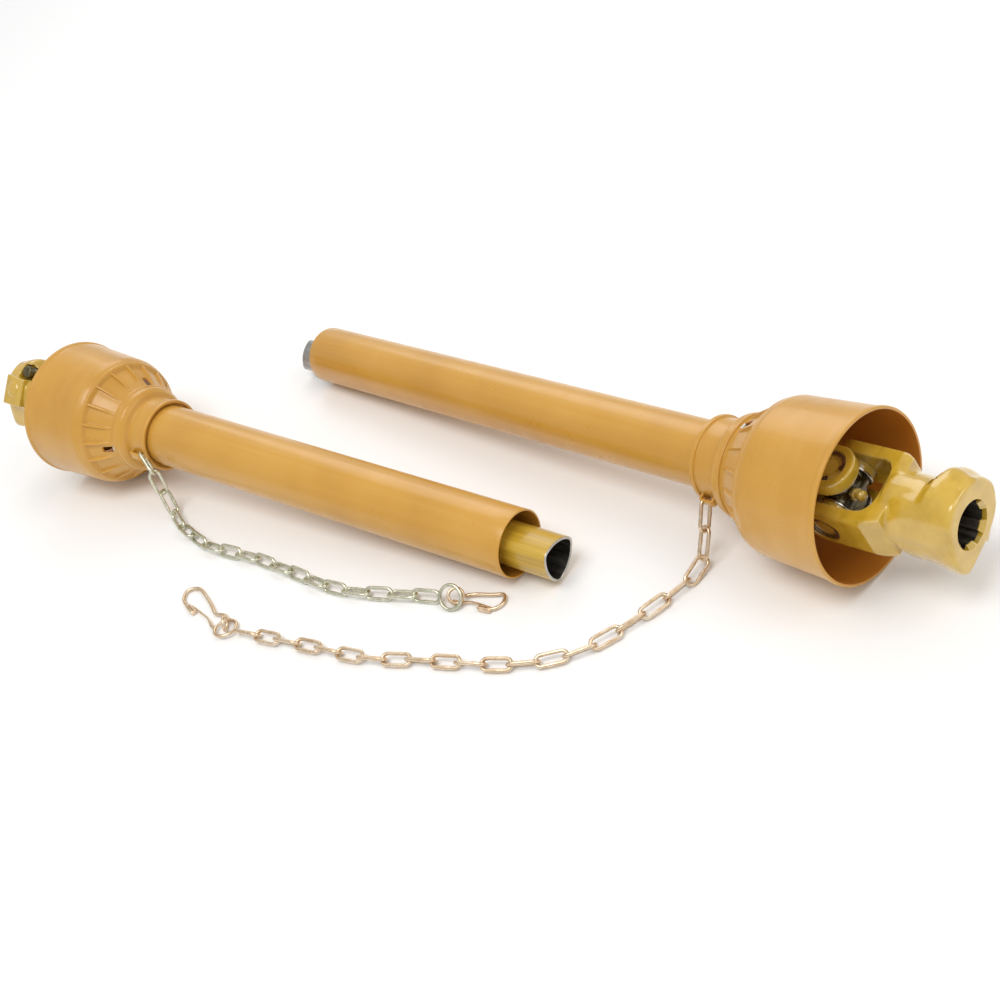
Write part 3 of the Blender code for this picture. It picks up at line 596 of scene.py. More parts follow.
def guard_bell_mesh(h):
    bore = h["guard_r"] + 0.3
    flange = h["guard_r"] + 2.6
    outer = [(0.0, 63.9, 0.5), (0.4, 64.7, 0.4), (3.7, 64.7, 0.5), (4.6, 63.75, 0.3), (67.0, 60.5, 2.6),
             (71.0, 59.2, 1.4), (73.2, 57.9, 0.7), (74.4, 57.8, 0.7), (75.8, 56.5, 0.8), (76.9, 52.3, 0.8), (98.5, 40.35, 1.2), (100.9, 39.7, 0.4),
             (101.3, 41.2, 0.6), (103.3, 41.2, 0.6), (103.8, 40.3, 0.4), (108.6, 39.8, 3.2), (112.2, 36.4, 2.4),
             (114.0, 32.0, 1.0), (131.8, 31.8, 0.7), (132.4, 33.6, 0.6), (136.3, 33.5, 0.9), (136.3, flange, 0.5),
             (133.4, flange, 0.4), (133.0, bore, 0.3), (117.0, bore, 0.3), (117.0, bore - 1.9, 0.5), (113.0, 26.6, 1.0),
             (108.5, 34.0, 1.5), (106.2, 36.4, 0.8), (102.0, 36.7, 1.0), (78.0, 49.7, 2.0), (74.6, 53.0, 2.5),
             (66.0, 58.0, 6.0), (0.0, 62.3, 0.5)]
    loop = divided(rounded(outer, 3), 6.0)
    verts, faces, cols = [], [], None
    for s, r in loop:
        # the outer skin between the shoulder and the neck ring carries the ribs
        top = rib_top(s) if 75.7 < s < 97.5 else 0.0
        on_skin = 75.7 < s < 97.5 and r > 38.0 and r > 52.2 - (s - 77.0) * 0.549 - 0.9
        row = []
        for k in range(RIBS):
            mid = math.radians(RIB_FIRST + 20.0 * k)
            for off, lift in RIB_COLS:
                rr = max(r, r + (top - r) * lift) if on_skin and top > r else r
                row.append((mid + off / r, rr))
            a = mid + 2.9 / r
            b = math.radians(RIB_FIRST + 20.0 * (k + 1)) - 2.9 / r
            row += [(a + (b - a) * j / 5, r) for j in range(1, 5)]
        cols = len(row)
        verts += [(-s, rr * math.sin(a), rr * math.cos(a)) for a, rr in row]
    n = len(loop)
    for i in range(n):
        j = (i + 1) % n
        for k in range(cols):
            q = (k + 1) % cols
            faces.append((i * cols + k, i * cols + q, j * cols + q, j * cols + k))
    me = to_mesh(verts, faces)
    cutters = []
    for k in range(3):
        b = math.radians(h["slot_deg"] + 120 * k)
        shape = rounded([(-99.6, -3.0, 2.0), (-88.5, -3.0, 2.0), (-88.5, 3.0, 2.0), (-99.6, 3.0, 2.0)], 5)
        cutters.append(prism(shape, 33, 50, lambda x, c, r, b=b: (x, r * math.sin(b) + c * math.cos(b),
                                                                  r * math.cos(b) - c * math.sin(b))))
    me = combine(me, [joined(cutters)], 'DIFFERENCE')
    # faces turned inwards take the second slot, the plastic with painted shade
    inside = []
    for p in me.polygons:
        c = p.center / MM
        r = math.hypot(c.y, c.z)
        inward = (p.normal.y * c.y + p.normal.z * c.z) < 0.0
        inside.append(1 if inward and c.x > -106.0 and r > 36.0 else 0)
    me.polygons.foreach_set("material_index", inside)
    return me


def chain_lug_mesh(h):
    a = math.radians(h["lug_deg"])
    route = rounded([(-130.0, 30.6, 0), (-129.9, 36.9, 1.7), (-118.6, 36.9, 1.7), (-118.5, 30.6, 0)], 6, False)
    pts = []
    for x, r in divided(route + [route[-1]], 1.5)[:-1]:
        pts.append((x, r * math.sin(a), r * math.cos(a)))
    side = (0, math.cos(a), -math.sin(a))
    sec = rounded([(-3.5, -1.1, 0.8), (3.5, -1.1, 0.8), (3.5, 1.1, 0.8), (-3.5, 1.1, 0.8)], 3)
    return sweep(pts, sec, up=side)


def guard_tube_mesh(h, length):
    r = h["guard_r"]
    loop = rounded([(-117.3, r, 0.1), (-length, r, 0.35), (-length, r - 1.5, 0.35), (-117.3, r - 1.5, 0.1)], 3)
    return lathe(divided(loop, 12.0), 128)


# =================================================================== drive
def tri_lobe(radius, lobe, turn_deg, n=96, crisp=0.0):
    """Rounded three-cornered section; crisp adds the narrow ridge that each corner has."""
    pts = []
    for k in range(n):
        a = 2 * math.pi * k / n
        c = math.cos(3 * (a - math.radians(turn_deg)))
        r = radius + lobe * c + crisp * (((1 + c) / 2) ** 6 - 0.25)
        pts.append((r * math.sin(a), r * math.cos(a)))
    return pts


def lobe_turn(h):
    return h["lobe_deg"] - h["ear_deg"] + 90.0


def profile_tube_mesh(h, length):
    """Three-cornered tube with a sawn end; face materials: 0 skin, 1 sawn end, 2 bore."""
    end, start = -(length + h["tube_out"] - CROSS_BACK), -(65.0 - CROSS_BACK)
    r, lobe, wall, turn = h["tube_r"], h["tube_lobe"], h["tube_wall"] - 0.9, lobe_turn(h)
    crisp = 1.5
    along = [start - (start - end - 3.0) * k / 8 for k in range(9)]
    rings = [(x, 0.0) for x in along] + [(end + 0.5, 0.0), (end + 0.15, 0.12), (end, 0.4), (end, wall - 0.4),
                                         (end + 0.4, wall)] + [(x, wall) for x in along[::-1]]
    verts, faces, mats = [], [], []
    n = 120
    for x, inset in rings:
        verts += [(x, a, b) for a, b in tri_lobe(r - inset, lobe, turn, n, crisp)]
    m = len(rings)
    for i in range(m):
        j = (i + 1) % m
        for k in range(n):
            q = (k + 1) % n
            faces.append((i * n + k, i * n + q, j * n + q, j * n + k))
            mats.append(0 if i < 9 else 1 if i < 13 else 2)
    me = to_mesh(verts, faces)
    me.polygons.foreach_set("material_index", mats)
    return me


def put_axis(ears):
    return {"v": lambda a, b, c: (a, c, b), "w": lambda a, b, c: (a, b, c)}[ears]


def boss_plan(root_at, root_half, end_at, n=28, r=18.8):
    pts = [(-r * math.sin(math.pi * k / n), r * math.cos(math.pi * k / n)) for k in range(n + 1)]
    return pts + [(20.0, -r), (root_at, -root_half), (end_at, -root_half), (end_at, root_half), (root_at, root_half),
                  (20.0, r)]


def fork_mesh(sign, side, plan):
    ears, other = ("w", "v") if sign > 0 else ("v", "w")

    def put(u, e, c, first=ears, second=other):
        p = {first: e, second: c}
        return (sign * u, p["v"], p["w"])
    a = prism(side, -30, 30, put)
    b = prism(plan, -40, 40, lambda u, e, c: put(u, e, c, other, ears))
    rnd = lathe([(sign * -22.0, 0), (sign * -22.0, 36.6), (sign * 60.0, 36.6), (sign * 60.0, 0)], 96)
    return combine(combine(a, [b], 'INTERSECT'), [rnd], 'INTERSECT')


def in_bar(p, t, u):
    return (u, p * math.cos(BAR_TURN) + t * math.sin(BAR_TURN), -p * math.sin(BAR_TURN) + t * math.cos(BAR_TURN))


def closed_curve(points, count):
    """Even samples of a closed smooth curve through the points."""
    n = len(points)
    fine = []
    for i in range(n):
        p0, p1, p2, p3 = (Vector(points[(i + k - 1) % n]) for k in range(4))
        for j in range(16):
            t = j / 16
            fine.append(0.5 * ((2 * p1) + (p2 - p0) * t + (2 * p0 - 5 * p1 + 4 * p2 - p3) * t * t
                               + (3 * p1 - p0 - 3 * p2 + p3) * t * t * t))
    fine.append(fine[0])
    run = [0.0]
    for a, b in zip(fine, fine[1:]):
        run.append(run[-1] + (b - a).length)
    at = [run[-1] * k / count for k in range(count)]
    return [(float(np.interp(q, run, [v.x for v in fine])), float(np.interp(q, run, [v.y for v in fine]))) for q in at]


def hub_lobes_mesh():
    """Oval body round the hub: far lobe swells earlier than the one over the pin."""
    oval = closed_curve(HUB_OVAL, 112)
    verts, n = [], len(oval)
    # how far along the bar, then limit and lift of the far lobe, of the near one, and the edge draw-in
    levels = [(48.0, 25.2, 0.0, 25.2, 0.0, 0.0), (52.0, 26.4, 0.0, 25.2, 0.0, 0.0), (55.0, 28.8, 0.0, 25.2, 0.0, 0.0),
              (58.0, 31.4, 0.0, 25.3, 0.0, 0.0), (61.0, 32.2, 0.0, 25.5, 0.0, 0.0), (66.0, 32.2, 0.0, 25.8, 0.0, 0.0),
              (70.5, 32.2, 0.0, 26.3, 0.0, 0.0), (73.5, 99.0, -0.6, 28.2, 0.0, 0.0), (76.5, 99.0, 0.0, 31.8, 0.2, 0.0),
              (79.5, 99.0, 0.4, 99.0, 1.2, 0.0), (83.0, 99.0, 0.9, 99.0, 2.0, 0.0), (87.0, 99.0, 1.7, 99.0, 1.4, 0.0),
              (91.0, 99.0, 2.4, 99.0, -0.2, 0.0), (95.0, 99.0, 2.7, 99.0, -1.5, 0.0),
              (HUB_END - 1.6, 99.0, 2.2, 99.0, -1.8, 0.0), (HUB_END, 99.0, 2.0, 99.0, -1.8, 1.6)]
    for u, far_r, far_add, near_r, near_add, shrink in levels:
        middle = 25.2 + 0.16 * (u - 48.0)
        for p, t in oval:
            r = math.hypot(p, t)
            near = min(max((p - 7.0) / 9.0, 0.0), 1.0)
            far = min(max((-p - 7.0) / 9.0, 0.0), 1.0)
            top = near * min(r - shrink, near_r) + far * min(r - shrink, far_r) + (1 - near - far) * min(r - shrink, middle)
            top += min(max(abs(p) - 12.0, 0.0) / 20.0, 1.0) * (near_add if p > 0 else far_add)
            verts.append(in_bar(p / r * top, t / r * top, u))
    m = len(levels)
    faces = [tuple(range(n)), tuple(range((m - 1) * n, m * n))]
    for i in range(m - 1):
        for k in range(n):
            q = (k + 1) % n
            faces += [(i * n + k, i * n + q, (i + 1) * n + q), (i * n + k, (i + 1) * n + q, (i + 1) * n + k)]
    return to_mesh(verts, faces)


def end_yoke_mesh():
    side = [(-20.5, 21.6), (-20.5, 33.0), (6.0, 33.0), (20.0, 32.2), (36.0, 32.2), (50.0, 26.4), (50.0, -26.6), (37.0, -33.0), (-20.5, -33.0),
            (-20.5, -21.6), (29.0, -21.6), (34.3, -19.4), (37.4, -15.0), (38.5, -8.0), (38.5, 8.0), (37.4, 15.0), (34.3, 19.4), (29.0, 21.6)]
    me = fork_mesh(1, side, boss_plan(40.0, 22.0, 50.0))
    hub = lathe([(38.6, 0), (38.6, 19.0), (43.0, 25.6), (HUB_END - 1.4, 25.6), (HUB_END - 0.4, 24.6), (HUB_END - 0.4, 0)], 96)
    flank = prism([(-13.5, -18.0), (-13.5, -31.2), (15.5, -31.2), (15.5, -18.0)], 71.0, 97.6, in_bar)
    spot = rod(7.0, -32.9, -18.0, 40, lambda a, b, c: in_bar(2.5 + a, c, 84.5 + b))
    me = combine(me, [hub, hub_lobes_mesh(), flank, spot], 'UNION')
    pockets = [prism([(70.2, 14.3), (84.8, 14.3), (84.8, 28.7), (70.2, 28.7)], -45.0, -14.0,
                     lambda u, p, t: in_bar(p, t, u)),
               prism([(72.0, -20.5), (84.0, -20.5), (84.0, -14.5), (72.0, -14.5)], -45.0, -22.0,
                     lambda u, p, t: in_bar(p, t, u))]
    me = combine(me, [joined(pockets)], 'DIFFERENCE')
    me = soften(me, 1.0, 9, 0.5)
    # machined surfaces stay crisp
    spl = []
    wide, root = math.asin(4.4 / 17.5), math.asin(4.4 / 14.8)
    for k in range(6):
        c = math.pi / 3 * k
        spl += [(c + d, r) for d, r in ((-root, 14.8), (-wide * 1.02, 16.9), (-wide, 17.5), (-wide * 0.5, 17.5),
                                        (0.0, 17.5), (wide * 0.5, 17.5), (wide, 17.5), (wide * 1.02, 16.9),
                                        (root, 14.8), (root + (math.pi / 6 - root) * 0.5, 14.8),
                                        (math.pi / 6, 14.8), (math.pi / 3 - root - (math.pi / 6 - root) * 0.5, 14.8))]
    spline = long_prism([(r * math.cos(a), r * math.sin(a)) for a, r in spl], [20.0, 60.0, 96.4, HUB_END + 6],
                        lambda a, b, c: (c, a, b))
    mouth = lathe([(HUB_END - 3.4, 0), (HUB_END - 3.4, 14.4), (HUB_END + 1.0, 18.6), (HUB_END + 1.0, 0)], 96)
    bores = rod(12.2, -45, 45, 64, put_axis("w"))
    sinks = joined([lathe([(s * 32.2, 0), (s * 32.2, 13.0), (s * 34.6, 13.6), (s * 34.6, 0)], 64) for s in (1, -1)])
    sinks.transform(Matrix.Rotation(-math.pi / 2, 4, 'Y'))
    pin = rod(5.8, -30, 17.8, 40, lambda a, b, c: in_bar(PIN_P + a, c, PIN_U + b))
    me = combine(me, [spline, mouth, bores, sinks, pin], 'DIFFERENCE')
    bare = []
    for p in me.polygons:
        c = p.center / MM
        inside = math.hypot(c.y, c.z) < 17.9 and 24.0 < c.x < 96.5
        in_ear = math.hypot(c.x, c.y) < 12.5 and 20.0 < abs(c.z) < 32.0
        bare.append(1 if inside or in_ear else 0)
    me.polygons.foreach_set("material_index", bare)
    return me


def tube_yoke_meshes():
    side = [(-20.5, 21.6), (-20.5, 33.0), (26.0, 33.0), (42.5, 24.3), (42.5, -24.3), (26.0, -33.0), (-20.5, -33.0),
            (-20.5, -21.6), (25.0, -21.6), (34.0, -12.0), (34.0, 12.0), (25.0, 21.6)]
    fork = fork_mesh(-1, side, boss_plan(27.0, 22.0, 42.5))
    neck = lathe([(-34.2, 0), (-34.2, 19.0), (-41.5, 24.3), (-92.5, 24.3), (-92.5, 0)], 96)
    solid = combine(fork, [neck], 'UNION')
    pin = rod(4.1, -40, 40, 32, lambda a, b, c: (-62.5 + a, c, b))
    out = {}
    for key, h in HALVES.items():
        socket = prism(tri_lobe(h["tube_r"] + 0.35, h["tube_lobe"], lobe_turn(h)), -98, -45.0, lambda a, b, c: (c, a, b))
        me = soften(combine(combine(solid.copy(), [socket], 'DIFFERENCE'), [pin.copy()], 'DIFFERENCE'), 1.05, 9, 0.5)
        groove = lathe([(-77.5, 21.2), (-85.5, 21.2), (-85.5, 30.0), (-77.5, 30.0)], 96)
        bores = rod(12.2, -45, 45, 64, put_axis("v"))
        sinks = joined([lathe([(s * 32.2, 0), (s * 32.2, 13.0), (s * 34.6, 13.6), (s * 34.6, 0)], 64) for s in (1, -1)])
        sinks.transform(Matrix.Rotation(math.pi / 2, 4, 'Z'))
        out[key] = combine(me, [groove, bores, sinks], 'DIFFERENCE')
    return out


def cross_mesh():
    prof = [(-28.2, 0), (-28.2, 7.2), (-27.4, 8.2), (-15.4, 8.2), (-14.9, 9.6), (-13.5, 11.2), (13.5, 11.2),
            (14.9, 9.6), (15.4, 8.2), (27.4, 8.2), (28.2, 7.2), (28.2, 0)]
    a = lathe(prof, 48)
    b = a.copy()
    a.transform(Matrix.Rotation(math.pi / 2, 4, 'Z'))
    b.transform(Matrix.Rotation(math.pi / 2, 4, 'Y'))
    core = lathe([(-10.5, 0), (-10.5, 10.0), (-7.0, 14.6), (7.0, 14.6), (10.5, 10.0), (10.5, 0)], 48)
    me = soften(combine(a, [b, core], 'UNION'), 0.6, 5, 0.5)
    d = NIPPLE
    x = d.orthogonal().normalized()
    y = d.cross(x)
    seat = rod(4.9, 12.7, 30.0, 24, lambda p, q, c: tuple(x * p + y * q + d * c))
    return combine(me, [seat], 'DIFFERENCE')


NIPPLE = Vector((0.88, 0.42, 0.22)).normalized()


def nipple_mesh():
    hexa = [(4.2 / math.cos(math.pi / 6) * math.cos(math.pi / 3 * k), 4.2 / math.cos(math.pi / 6) * math.sin(math.pi / 3 * k))
            for k in range(6)]
    loop = rounded([(12.0, 0, 0), (12.0, 2.8, 0), (18.6, 2.8, 0.1), (19.6, 2.3, 0.3), (21.4, 2.4, 0.4), (22.2, 3.9, 1.0),
                    (25.4, 3.9, 1.6), (27.0, 1.6, 0.6), (27.0, 0, 0)], 4, False)
    body = lathe(loop, 32)
    nut = prism(hexa, 13.2, 17.2, lambda a, b, c: (c, a, b))
    me = joined([body, nut])
    d = NIPPLE
    x = d.orthogonal().normalized()
    y = d.cross(x)
    me.transform(Matrix((d, x, y)).transposed().to_4x4())
    return me


def cap_mesh(ears, sign):
    loop = rounded([(30.65, 0, 0), (30.65, 6.2, 0), (30.35, 6.4, 0), (30.35, 7.6, 0), (30.65, 7.8, 0), (30.65, 11.9, 0.9),
                    (16.0, 11.9, 0.3), (16.0, 8.6, 0.3), (28.5, 8.6, 0.2), (28.5, 0, 0)], 4, False)
    seal = lathe(rounded([(15.9, 9.0, 0.3), (14.3, 9.2, 0.5), (14.3, 12.9, 0.7), (16.2, 12.9, 0.7), (16.2, 11.0, 0.2)],
                         4), 64)
    seal.polygons.foreach_set("material_index", [1] * len(seal.polygons))
    cup = lathe([(x, r) for x, r in loop], 64)
    cup.polygons.foreach_set("material_index", [0 if p.center.x > 0.0212 else 1 for p in cup.polygons])
    me = joined([cup, seal])
    me.transform(Matrix.Diagonal((sign, 1, 1, 1)))
    me.transform(Matrix.Rotation(math.pi / 2, 4, 'Z') if ears == "v" else Matrix.Rotation(-math.pi / 2, 4, 'Y'))
    me.flip_normals() if sign < 0 else None
    return me


def circlip_mesh(ears, sign, turn=0.0):
    n = 60
    gap = math.radians(30)
    outer, inner = [], []
    for k in range(n + 1):
        f = k / n
        a = gap + (2 * math.pi - 2 * gap) * f + turn
        ear = math.exp(-((f * 14) ** 2)) + math.exp(-(((1 - f) * 14) ** 2))
        wide = 1.5 + 0.9 * math.sin(math.pi * f) ** 2 + 2.0 * ear
        outer.append((11.9 * math.cos(a), 11.9 * math.sin(a)))
        inner.append(((11.9 - wide) * math.cos(a), (11.9 - wide) * math.sin(a)))
    poly = outer + inner[::-1]
    lo, hi = sorted((sign * 30.95, sign * 32.3))
    me = prism(poly, lo, hi, put_axis(ears))
    holes = []
    for s in (gap + 0.10, 2 * math.pi - gap - 0.10):
        c = (10.0 * math.cos(s + turn), 10.0 * math.sin(s + turn))
        holes.append(rod(0.75, lo - 1, hi + 1, 14, lambda a, b, d, c=c: put_axis(ears)(c[0] + a, c[1] + b, d)))
    return combine(me, holes, 'DIFFERENCE')


def on_pin(me):
    m = Matrix(((0, 1, 0), (math.sin(BAR_TURN), 0, math.cos(BAR_TURN)),
                (math.cos(BAR_TURN), 0, -math.sin(BAR_TURN)))).to_4x4()
    m.translation = Vector(in_bar(PIN_P, 0, PIN_U)) * MM
    me.transform(m)
    return me


def push_pin_mesh():
    loop = rounded([(-11.0, 0, 0), (-11.0, 5.5, 0.8), (-1.6, 5.5, 0.3), (-0.6, 3.5, 0.3), (20.4, 3.5, 0.2), (20.4, 6.2, 0.5),
                    (24.3, 6.2, 1.2), (24.8, 0, 0)], 5, False)
    return on_pin(lathe([(-x, r) for x, r in loop], 48))


def pin_spring_mesh():
    turns, n = 6, 144
    pts = []
    for k in range(n + 1):
        f = k / n
        a = 2 * math.pi * turns * f
        x = 11.1 + 8.3 * (f + 0.04 * math.sin(2 * math.pi * f) * -1)
        pts.append((-x, 4.65 * math.sin(a), 4.65 * math.cos(a)))
    return on_pin(sweep(pts, circle(0.62, 8)))


# =================================================================== chains
WIRE_R, LINK_HALF, LINK_RUN = 1.55, 4.65, 7.95


def link_mesh(kind=0):
    path = []
    steps = 10
    for k in range(steps + 1):
        a = -math.pi / 2 + math.pi * k / steps
        path.append((LINK_RUN + LINK_HALF * math.cos(a), LINK_HALF * math.sin(a), 0))
    for k in range(1, 4):
        path.append((LINK_RUN - 2 * LINK_RUN * k / 4, LINK_HALF, 0))
    for k in range(steps + 1):
        a = math.pi / 2 + math.pi * k / steps
        path.append((-LINK_RUN + LINK_HALF * math.cos(a), LINK_HALF * math.sin(a), 0))
    for k in range(1, 4):
        path.append((-LINK_RUN + 2 * LINK_RUN * k / 4, -LINK_HALF, 0))
    secs = []
    for x, y, _ in path:
        # the weld is a slight swelling in the middle of one side
        weld = 0.22 * math.exp(-(x / 1.3) ** 2) if y < -4.0 else 0.0
        secs.append(circle(WIRE_R + weld, 12))
    return sweep(path, secs, closed=True, up=(0, 0, 1))


def chain_mesh(route, pitch_near, first_roll, wobble):
    """Interlocked links along a route; returns the mesh and the points it follows."""
    fine = smooth_route(route, 1.0)
    pts = np.array(fine)
    run = np.concatenate([[0], np.cumsum(np.linalg.norm(np.diff(pts, axis=0), axis=1))])
    total = run[-1]
    half = LINK_RUN + LINK_HALF + WIRE_R
    count = int(round((total - 2 * half) / pitch_near)) + 1
    pitch = (total - 2 * half) / (count - 1)
    at = lambda s: Vector([float(np.interp(s, run, pts[:, k])) for k in range(3)])
    base = link_mesh()
    rng = np.random.default_rng(7)
    parts = []
    for i in range(count):
        s = half + pitch * i
        c = at(s)
        t = (at(s + half * 0.8) - at(s - half * 0.8)).normalized()
        up = Vector((0, 0, 1))
        side = t.cross(up)
        side = side.normalized() if side.length > 0.2 else Vector((0, -1, 0))
        up = side.cross(t).normalized()
        roll = math.radians(first_roll + (104 if i % 2 else 0) + 50.0 * math.exp(-i / 1.5) + float(rng.normal(0, wobble)))
        y = side * math.cos(roll) + up * math.sin(roll)
        z = t.cross(y)
        m = Matrix((t, y, z)).transposed().to_4x4()
        m.translation = c * MM
        me = base.copy()
        me.transform(m)
        parts.append(me)
    out = joined(parts)
    low = min(v.co.z for v in out.vertices)
    if low < 0.0001:
        for v in out.vertices:
            v.co.z = max(v.co.z, 0.0001)
    out.transform(Matrix.Translation(SHIFT))
    path = [tuple(Vector(p) * MM + SHIFT) for p in smooth_route(route, 9.0)]
    return out, path, total * MM


def ring_mesh(centre, along, tilt, ring_r=9.8, wire_r=1.45):
    t = math.radians(tilt)
    e1 = Vector((along[0], along[1], 0)).normalized()
    e2 = Vector((-along[1] * math.cos(t), along[0] * math.cos(t), math.sin(t))).normalized()
    pts = [tuple(Vector(centre) + (e1 * math.cos(a) + e2 * math.sin(a)) * ring_r)
           for a in [2 * math.pi * k / 64 for k in range(64)]]
    me = sweep(pts, circle(wire_r, 14), closed=True, up=tuple(e1.cross(e2)))
    me.transform(Matrix.Translation(SHIFT))
    return me


# =================================================================== build
make_camera()
make_stage()

MAT = {
    "bell": guard_plastic("guard_moulded", False),
    # inner faces of the bells: the same plastic with painted shade, darker and redder
    "bell_inside_shaded": guard_plastic("guard_moulded_inside_shaded", False, (0.92, 0.66, 0.50)),
    "tube": guard_plastic("guard_extruded", True),
    "paint": yoke_paint(),
    "tube_paint": tube_paint(),
    "steel": steel("bare_steel", (0.20, 0.195, 0.185), (0.50, 0.49, 0.46)),
    "cut": steel("cut_steel", (0.36, 0.34, 0.31), (0.66, 0.63, 0.58), (0.30, 0.45)),
    "bore": steel("bore_steel", (0.11, 0.10, 0.085), (0.34, 0.31, 0.27), (0.30, 0.55), (30.0, 500.0, 500.0)),
    "dark": steel("dark_steel", (0.050, 0.045, 0.035), (0.20, 0.17, 0.10), (0.22, 0.42), (150.0, 150.0, 150.0)),
    "drawn": steel("drawn_steel", (0.26, 0.25, 0.24), (0.55, 0.54, 0.52), (0.30, 0.50), (6.0, 700.0, 700.0)),
    "pin": steel("pin_steel", (0.085, 0.075, 0.045), (0.26, 0.22, 0.12), (0.24, 0.42)),
    "bright": steel("bright_steel", (0.45, 0.43, 0.40), (0.78, 0.76, 0.72), (0.16, 0.30)),
    "zinc_green": zinc("zinc_pale", [(0.46, 0.46, 0.34), (0.66, 0.66, 0.52), (0.78, 0.77, 0.66)]),
    "zinc_gold": zinc("zinc_gold", [(0.58, 0.42, 0.26), (0.76, 0.60, 0.42), (0.82, 0.72, 0.58)]),
    "nylon": nylon(),
}

end_yoke_base = end_yoke_mesh()
tube_yokes = tube_yoke_meshes()
cross_base = cross_mesh()
nipple_base = nipple_mesh()

for key, h in HALVES.items():
    f = half_frames(h)
    tag = "_" + key
    guard, drive, crossb, yoke, pin = "guard" + tag, "drive" + tag, "cross" + tag, "yoke" + tag, "pin" + tag
    bell = joined([guard_bell_mesh(h), chain_lug_mesh(h)])
    piece("bell_shell" + tag, bell, [MAT["bell"], MAT["bell_inside_shaded"]], f["guard"], guard, ["guard_bell" + tag])
    piece("guard_sleeve" + tag, guard_tube_mesh(h, f["length"]), MAT["tube"], f["guard"], guard,
          ["guard_tube" + tag])
    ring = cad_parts["bearing_ring" + tag]
    ring.data.materials.clear()
    ring.data.materials.append(MAT["nylon"])
    for n in ("roll_pin",):
        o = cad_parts[n + tag]
        o.data.materials.clear()
        o.data.materials.append(MAT["steel"])
    skin = MAT["tube_paint"] if key == "a" else MAT["drawn"]
    piece("drive_tube" + tag, profile_tube_mesh(h, f["length"]), [skin, MAT["cut"], MAT["bore"]], f["drive"], drive,
          ["profile_tube" + tag])
    piece("inner_yoke" + tag, tube_yokes[key], MAT["paint"], f["drive"], drive, ["tube_yoke" + tag])
    piece("outer_yoke" + tag, end_yoke_base.copy(), [MAT["paint"], MAT["bore"]], f["yoke"], yoke,
          ["end_yoke" + tag])
    piece("spider" + tag, cross_base.copy(), MAT["dark"], f["cross"], crossb, ["cross" + tag])
    piece("nipple" + tag, nipple_base.copy(), MAT["paint"], f["cross"], crossb, ["grease_nipple" + tag])
    for i, (ears, sign) in enumerate((("v", 1), ("v", -1), ("w", 1), ("w", -1))):
        fr, body = (f["drive"], drive) if ears == "v" else (f["yoke"], yoke)
        piece("bearing_cup_%d%s" % (i + 1, tag), cap_mesh(ears, sign), [MAT["paint"], MAT["bright"]], fr, body,
              ["cap_%d%s" % (i + 1, tag)])
        piece("snap_ring_%d%s" % (i + 1, tag), circlip_mesh(ears, sign, 0.6 + i), MAT["steel"], fr, body,
              ["circlip_%d%s" % (i + 1, tag)])
    piece("lock_pin" + tag, push_pin_mesh(), MAT["pin"], f["yoke"], pin, ["push_pin" + tag])
    piece("lock_spring" + tag, pin_spring_mesh(), MAT["pin"], f["yoke"], pin, ["pin_spring" + tag])

# floor points from the eye's neck along the arm, round the bend and back to the tip; then the eye and the gate leaf
HOOK = {
    "a": dict(arm=[(111.4, -81.2), (117.0, -77.4), (131.5, -71.6), (141.3, -67.9), (146.0, -73.2), (145.6, -79.6),
                   (141.4, -84.2), (137.2, -86.1), (130.4, -87.0)], eye=(108.6, -88.2, 8.6), eye_r=6.0,
              eye_up=(0.60, -0.40, 0.69), gate=[(105.2, -91.0, 3.6), (112.1, -88.6, 2.9), (117.0, -86.1, 2.6),
                                                (123.0, -84.6, 2.4), (133.0, -83.6, 2.2)]),
    "b": dict(arm=[(-80.6, -185.6), (-85.4, -182.8), (-92.0, -183.6), (-97.4, -184.8), (-106.0, -180.8), (-119.5, -175.0),
                   (-137.0, -169.4), (-143.0, -170.8), (-147.6, -176.4), (-143.4, -184.3), (-136.4, -188.0), (-120.0, -192.0)],
              eye=(-74.0, -191.6, 7.0), eye_r=6.1, eye_up=(0.76, 0.62, -0.18),
              gate=[(-82.4, -198.4, 3.4), (-88.8, -196.9, 3.0), (-99.4, -192.2, 2.6), (-114.0, -189.4, 2.4), (-128.0, -187.4, 2.2)]),
}


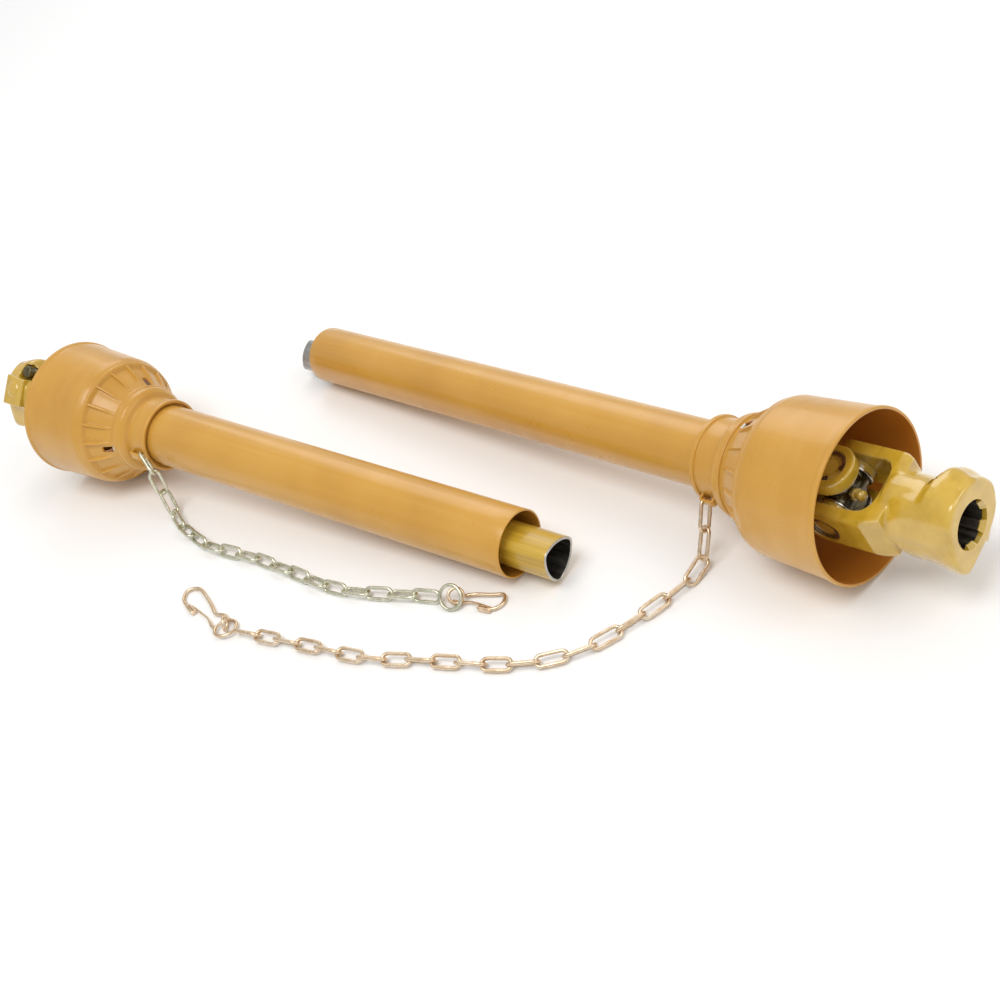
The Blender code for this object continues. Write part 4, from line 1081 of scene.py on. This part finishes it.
def hook_mesh(d):
    """Bent-wire snap hook: closed eye, arm and bend, folded tip, thin leaf gate."""
    n = unit(d["eye_up"])
    eye = Vector(d["eye"])
    neck = Vector((*d["arm"][0], 2.6)) - eye
    e1 = (neck - n * neck.dot(n)).normalized()
    e2 = n.cross(e1)
    ring = [tuple(eye + (e1 * math.cos(a) + e2 * math.sin(a)) * d["eye_r"]) for a in
            [2 * math.pi * k / 40 for k in range(40)]]
    loop = sweep(ring, circle(1.45, 12), closed=True, up=tuple(n))
    heights = [3.0, 2.6] + [2.1] * (len(d["arm"]) - 2)
    route = [tuple(eye + e1 * d["eye_r"])] + [(x, y, z) for (x, y), z in zip(d["arm"], heights)]
    pts, secs = round_ends(smooth_route(route, 1.0), 1.55, 14)
    wire = sweep(pts, secs)
    # folded channel over the tip
    tip, back = Vector((*d["arm"][-1], 2.2)), Vector((*d["arm"][-2], 2.2))
    x = (back - tip).normalized()
    y = Vector((0, 0, 1)).cross(x)
    sec = rounded([(-2.5, -1.9, 0.6), (2.5, -1.9, 0.6), (2.5, 2.3, 0.6), (-2.5, 2.3, 0.6)], 3)
    fold = sweep([tuple(tip + x * q) for q in (-0.8, -0.2, 5.6, 10.6, 11.4)],
                 [[(a * k, b * k) for a, b in sec] for k in (0.82, 1.0, 1.0, 0.95, 0.6)], up=tuple(y))
    slit = prism([(-3.0, -0.75), (9.0, -0.75), (9.0, 0.75), (-3.0, 0.75)], 1.0, 8.0,
                 lambda a, b, c: tuple(tip + x * a + y * b + Vector((0, 0, c))))
    fold = combine(fold, [slit], 'DIFFERENCE')
    leaf_route = smooth_route(d["gate"], 1.5)
    m = len(leaf_route)
    secs = []
    for i in range(m):
        wide = 1.0 + 0.9 * max(1.0 - i / (m * 0.4), 0.0)
        secs.append([(a, b * wide) for a, b in rounded([(-0.5, -1.0, 0.3), (0.5, -1.0, 0.3), (0.5, 1.0, 0.3),
                                                        (-0.5, 1.0, 0.3)], 2)])
    leaf = sweep(leaf_route, secs, up=(0, 0, 1))
    out = joined([loop, wire, fold, leaf])
    low = min(v.co.z for v in out.vertices)
    if low < 0.0001:
        for v in out.vertices:
            v.co.z = max(v.co.z, 0.0001)
    out.transform(Matrix.Translation(SHIFT))
    return out


for key, route, roll, centre, along, tilt in (
        ("a", CHAIN_A, 24.0, (105.0, -91.2, 8.6), (0.964, 0.266), 46.0),
        ("b", CHAIN_B, 24.0, (-73.4, -193.6, 3.4), (0.985, 0.173), -6.0)):
    body = "guard_" + key
    zmat = MAT["zinc_green"] if key == "a" else MAT["zinc_gold"]
    g = half_frames(HALVES[key])["guard"]
    at = math.radians(HALVES[key]["lug_deg"])
    strap = (g @ (Vector((-127.5, 32.4 * math.sin(at), 32.4 * math.cos(at))) * MM) - SHIFT) / MM
    links, path, length = chain_mesh([tuple(strap)] + route, 22.2, roll, 5.0)
    chain = piece("chain_links_" + key, links, zmat, Matrix.Identity(4), body, ["chain_" + key])
    ringo = piece("chain_end_ring_" + key, ring_mesh(centre, along, tilt), zmat, Matrix.Identity(4), body,
                  ["chain_ring_" + key])
    hook = piece("snap_hook_" + key, hook_mesh(HOOK[key]), MAT["zinc_gold"], Matrix.Identity(4), body, ["hook_" + key])
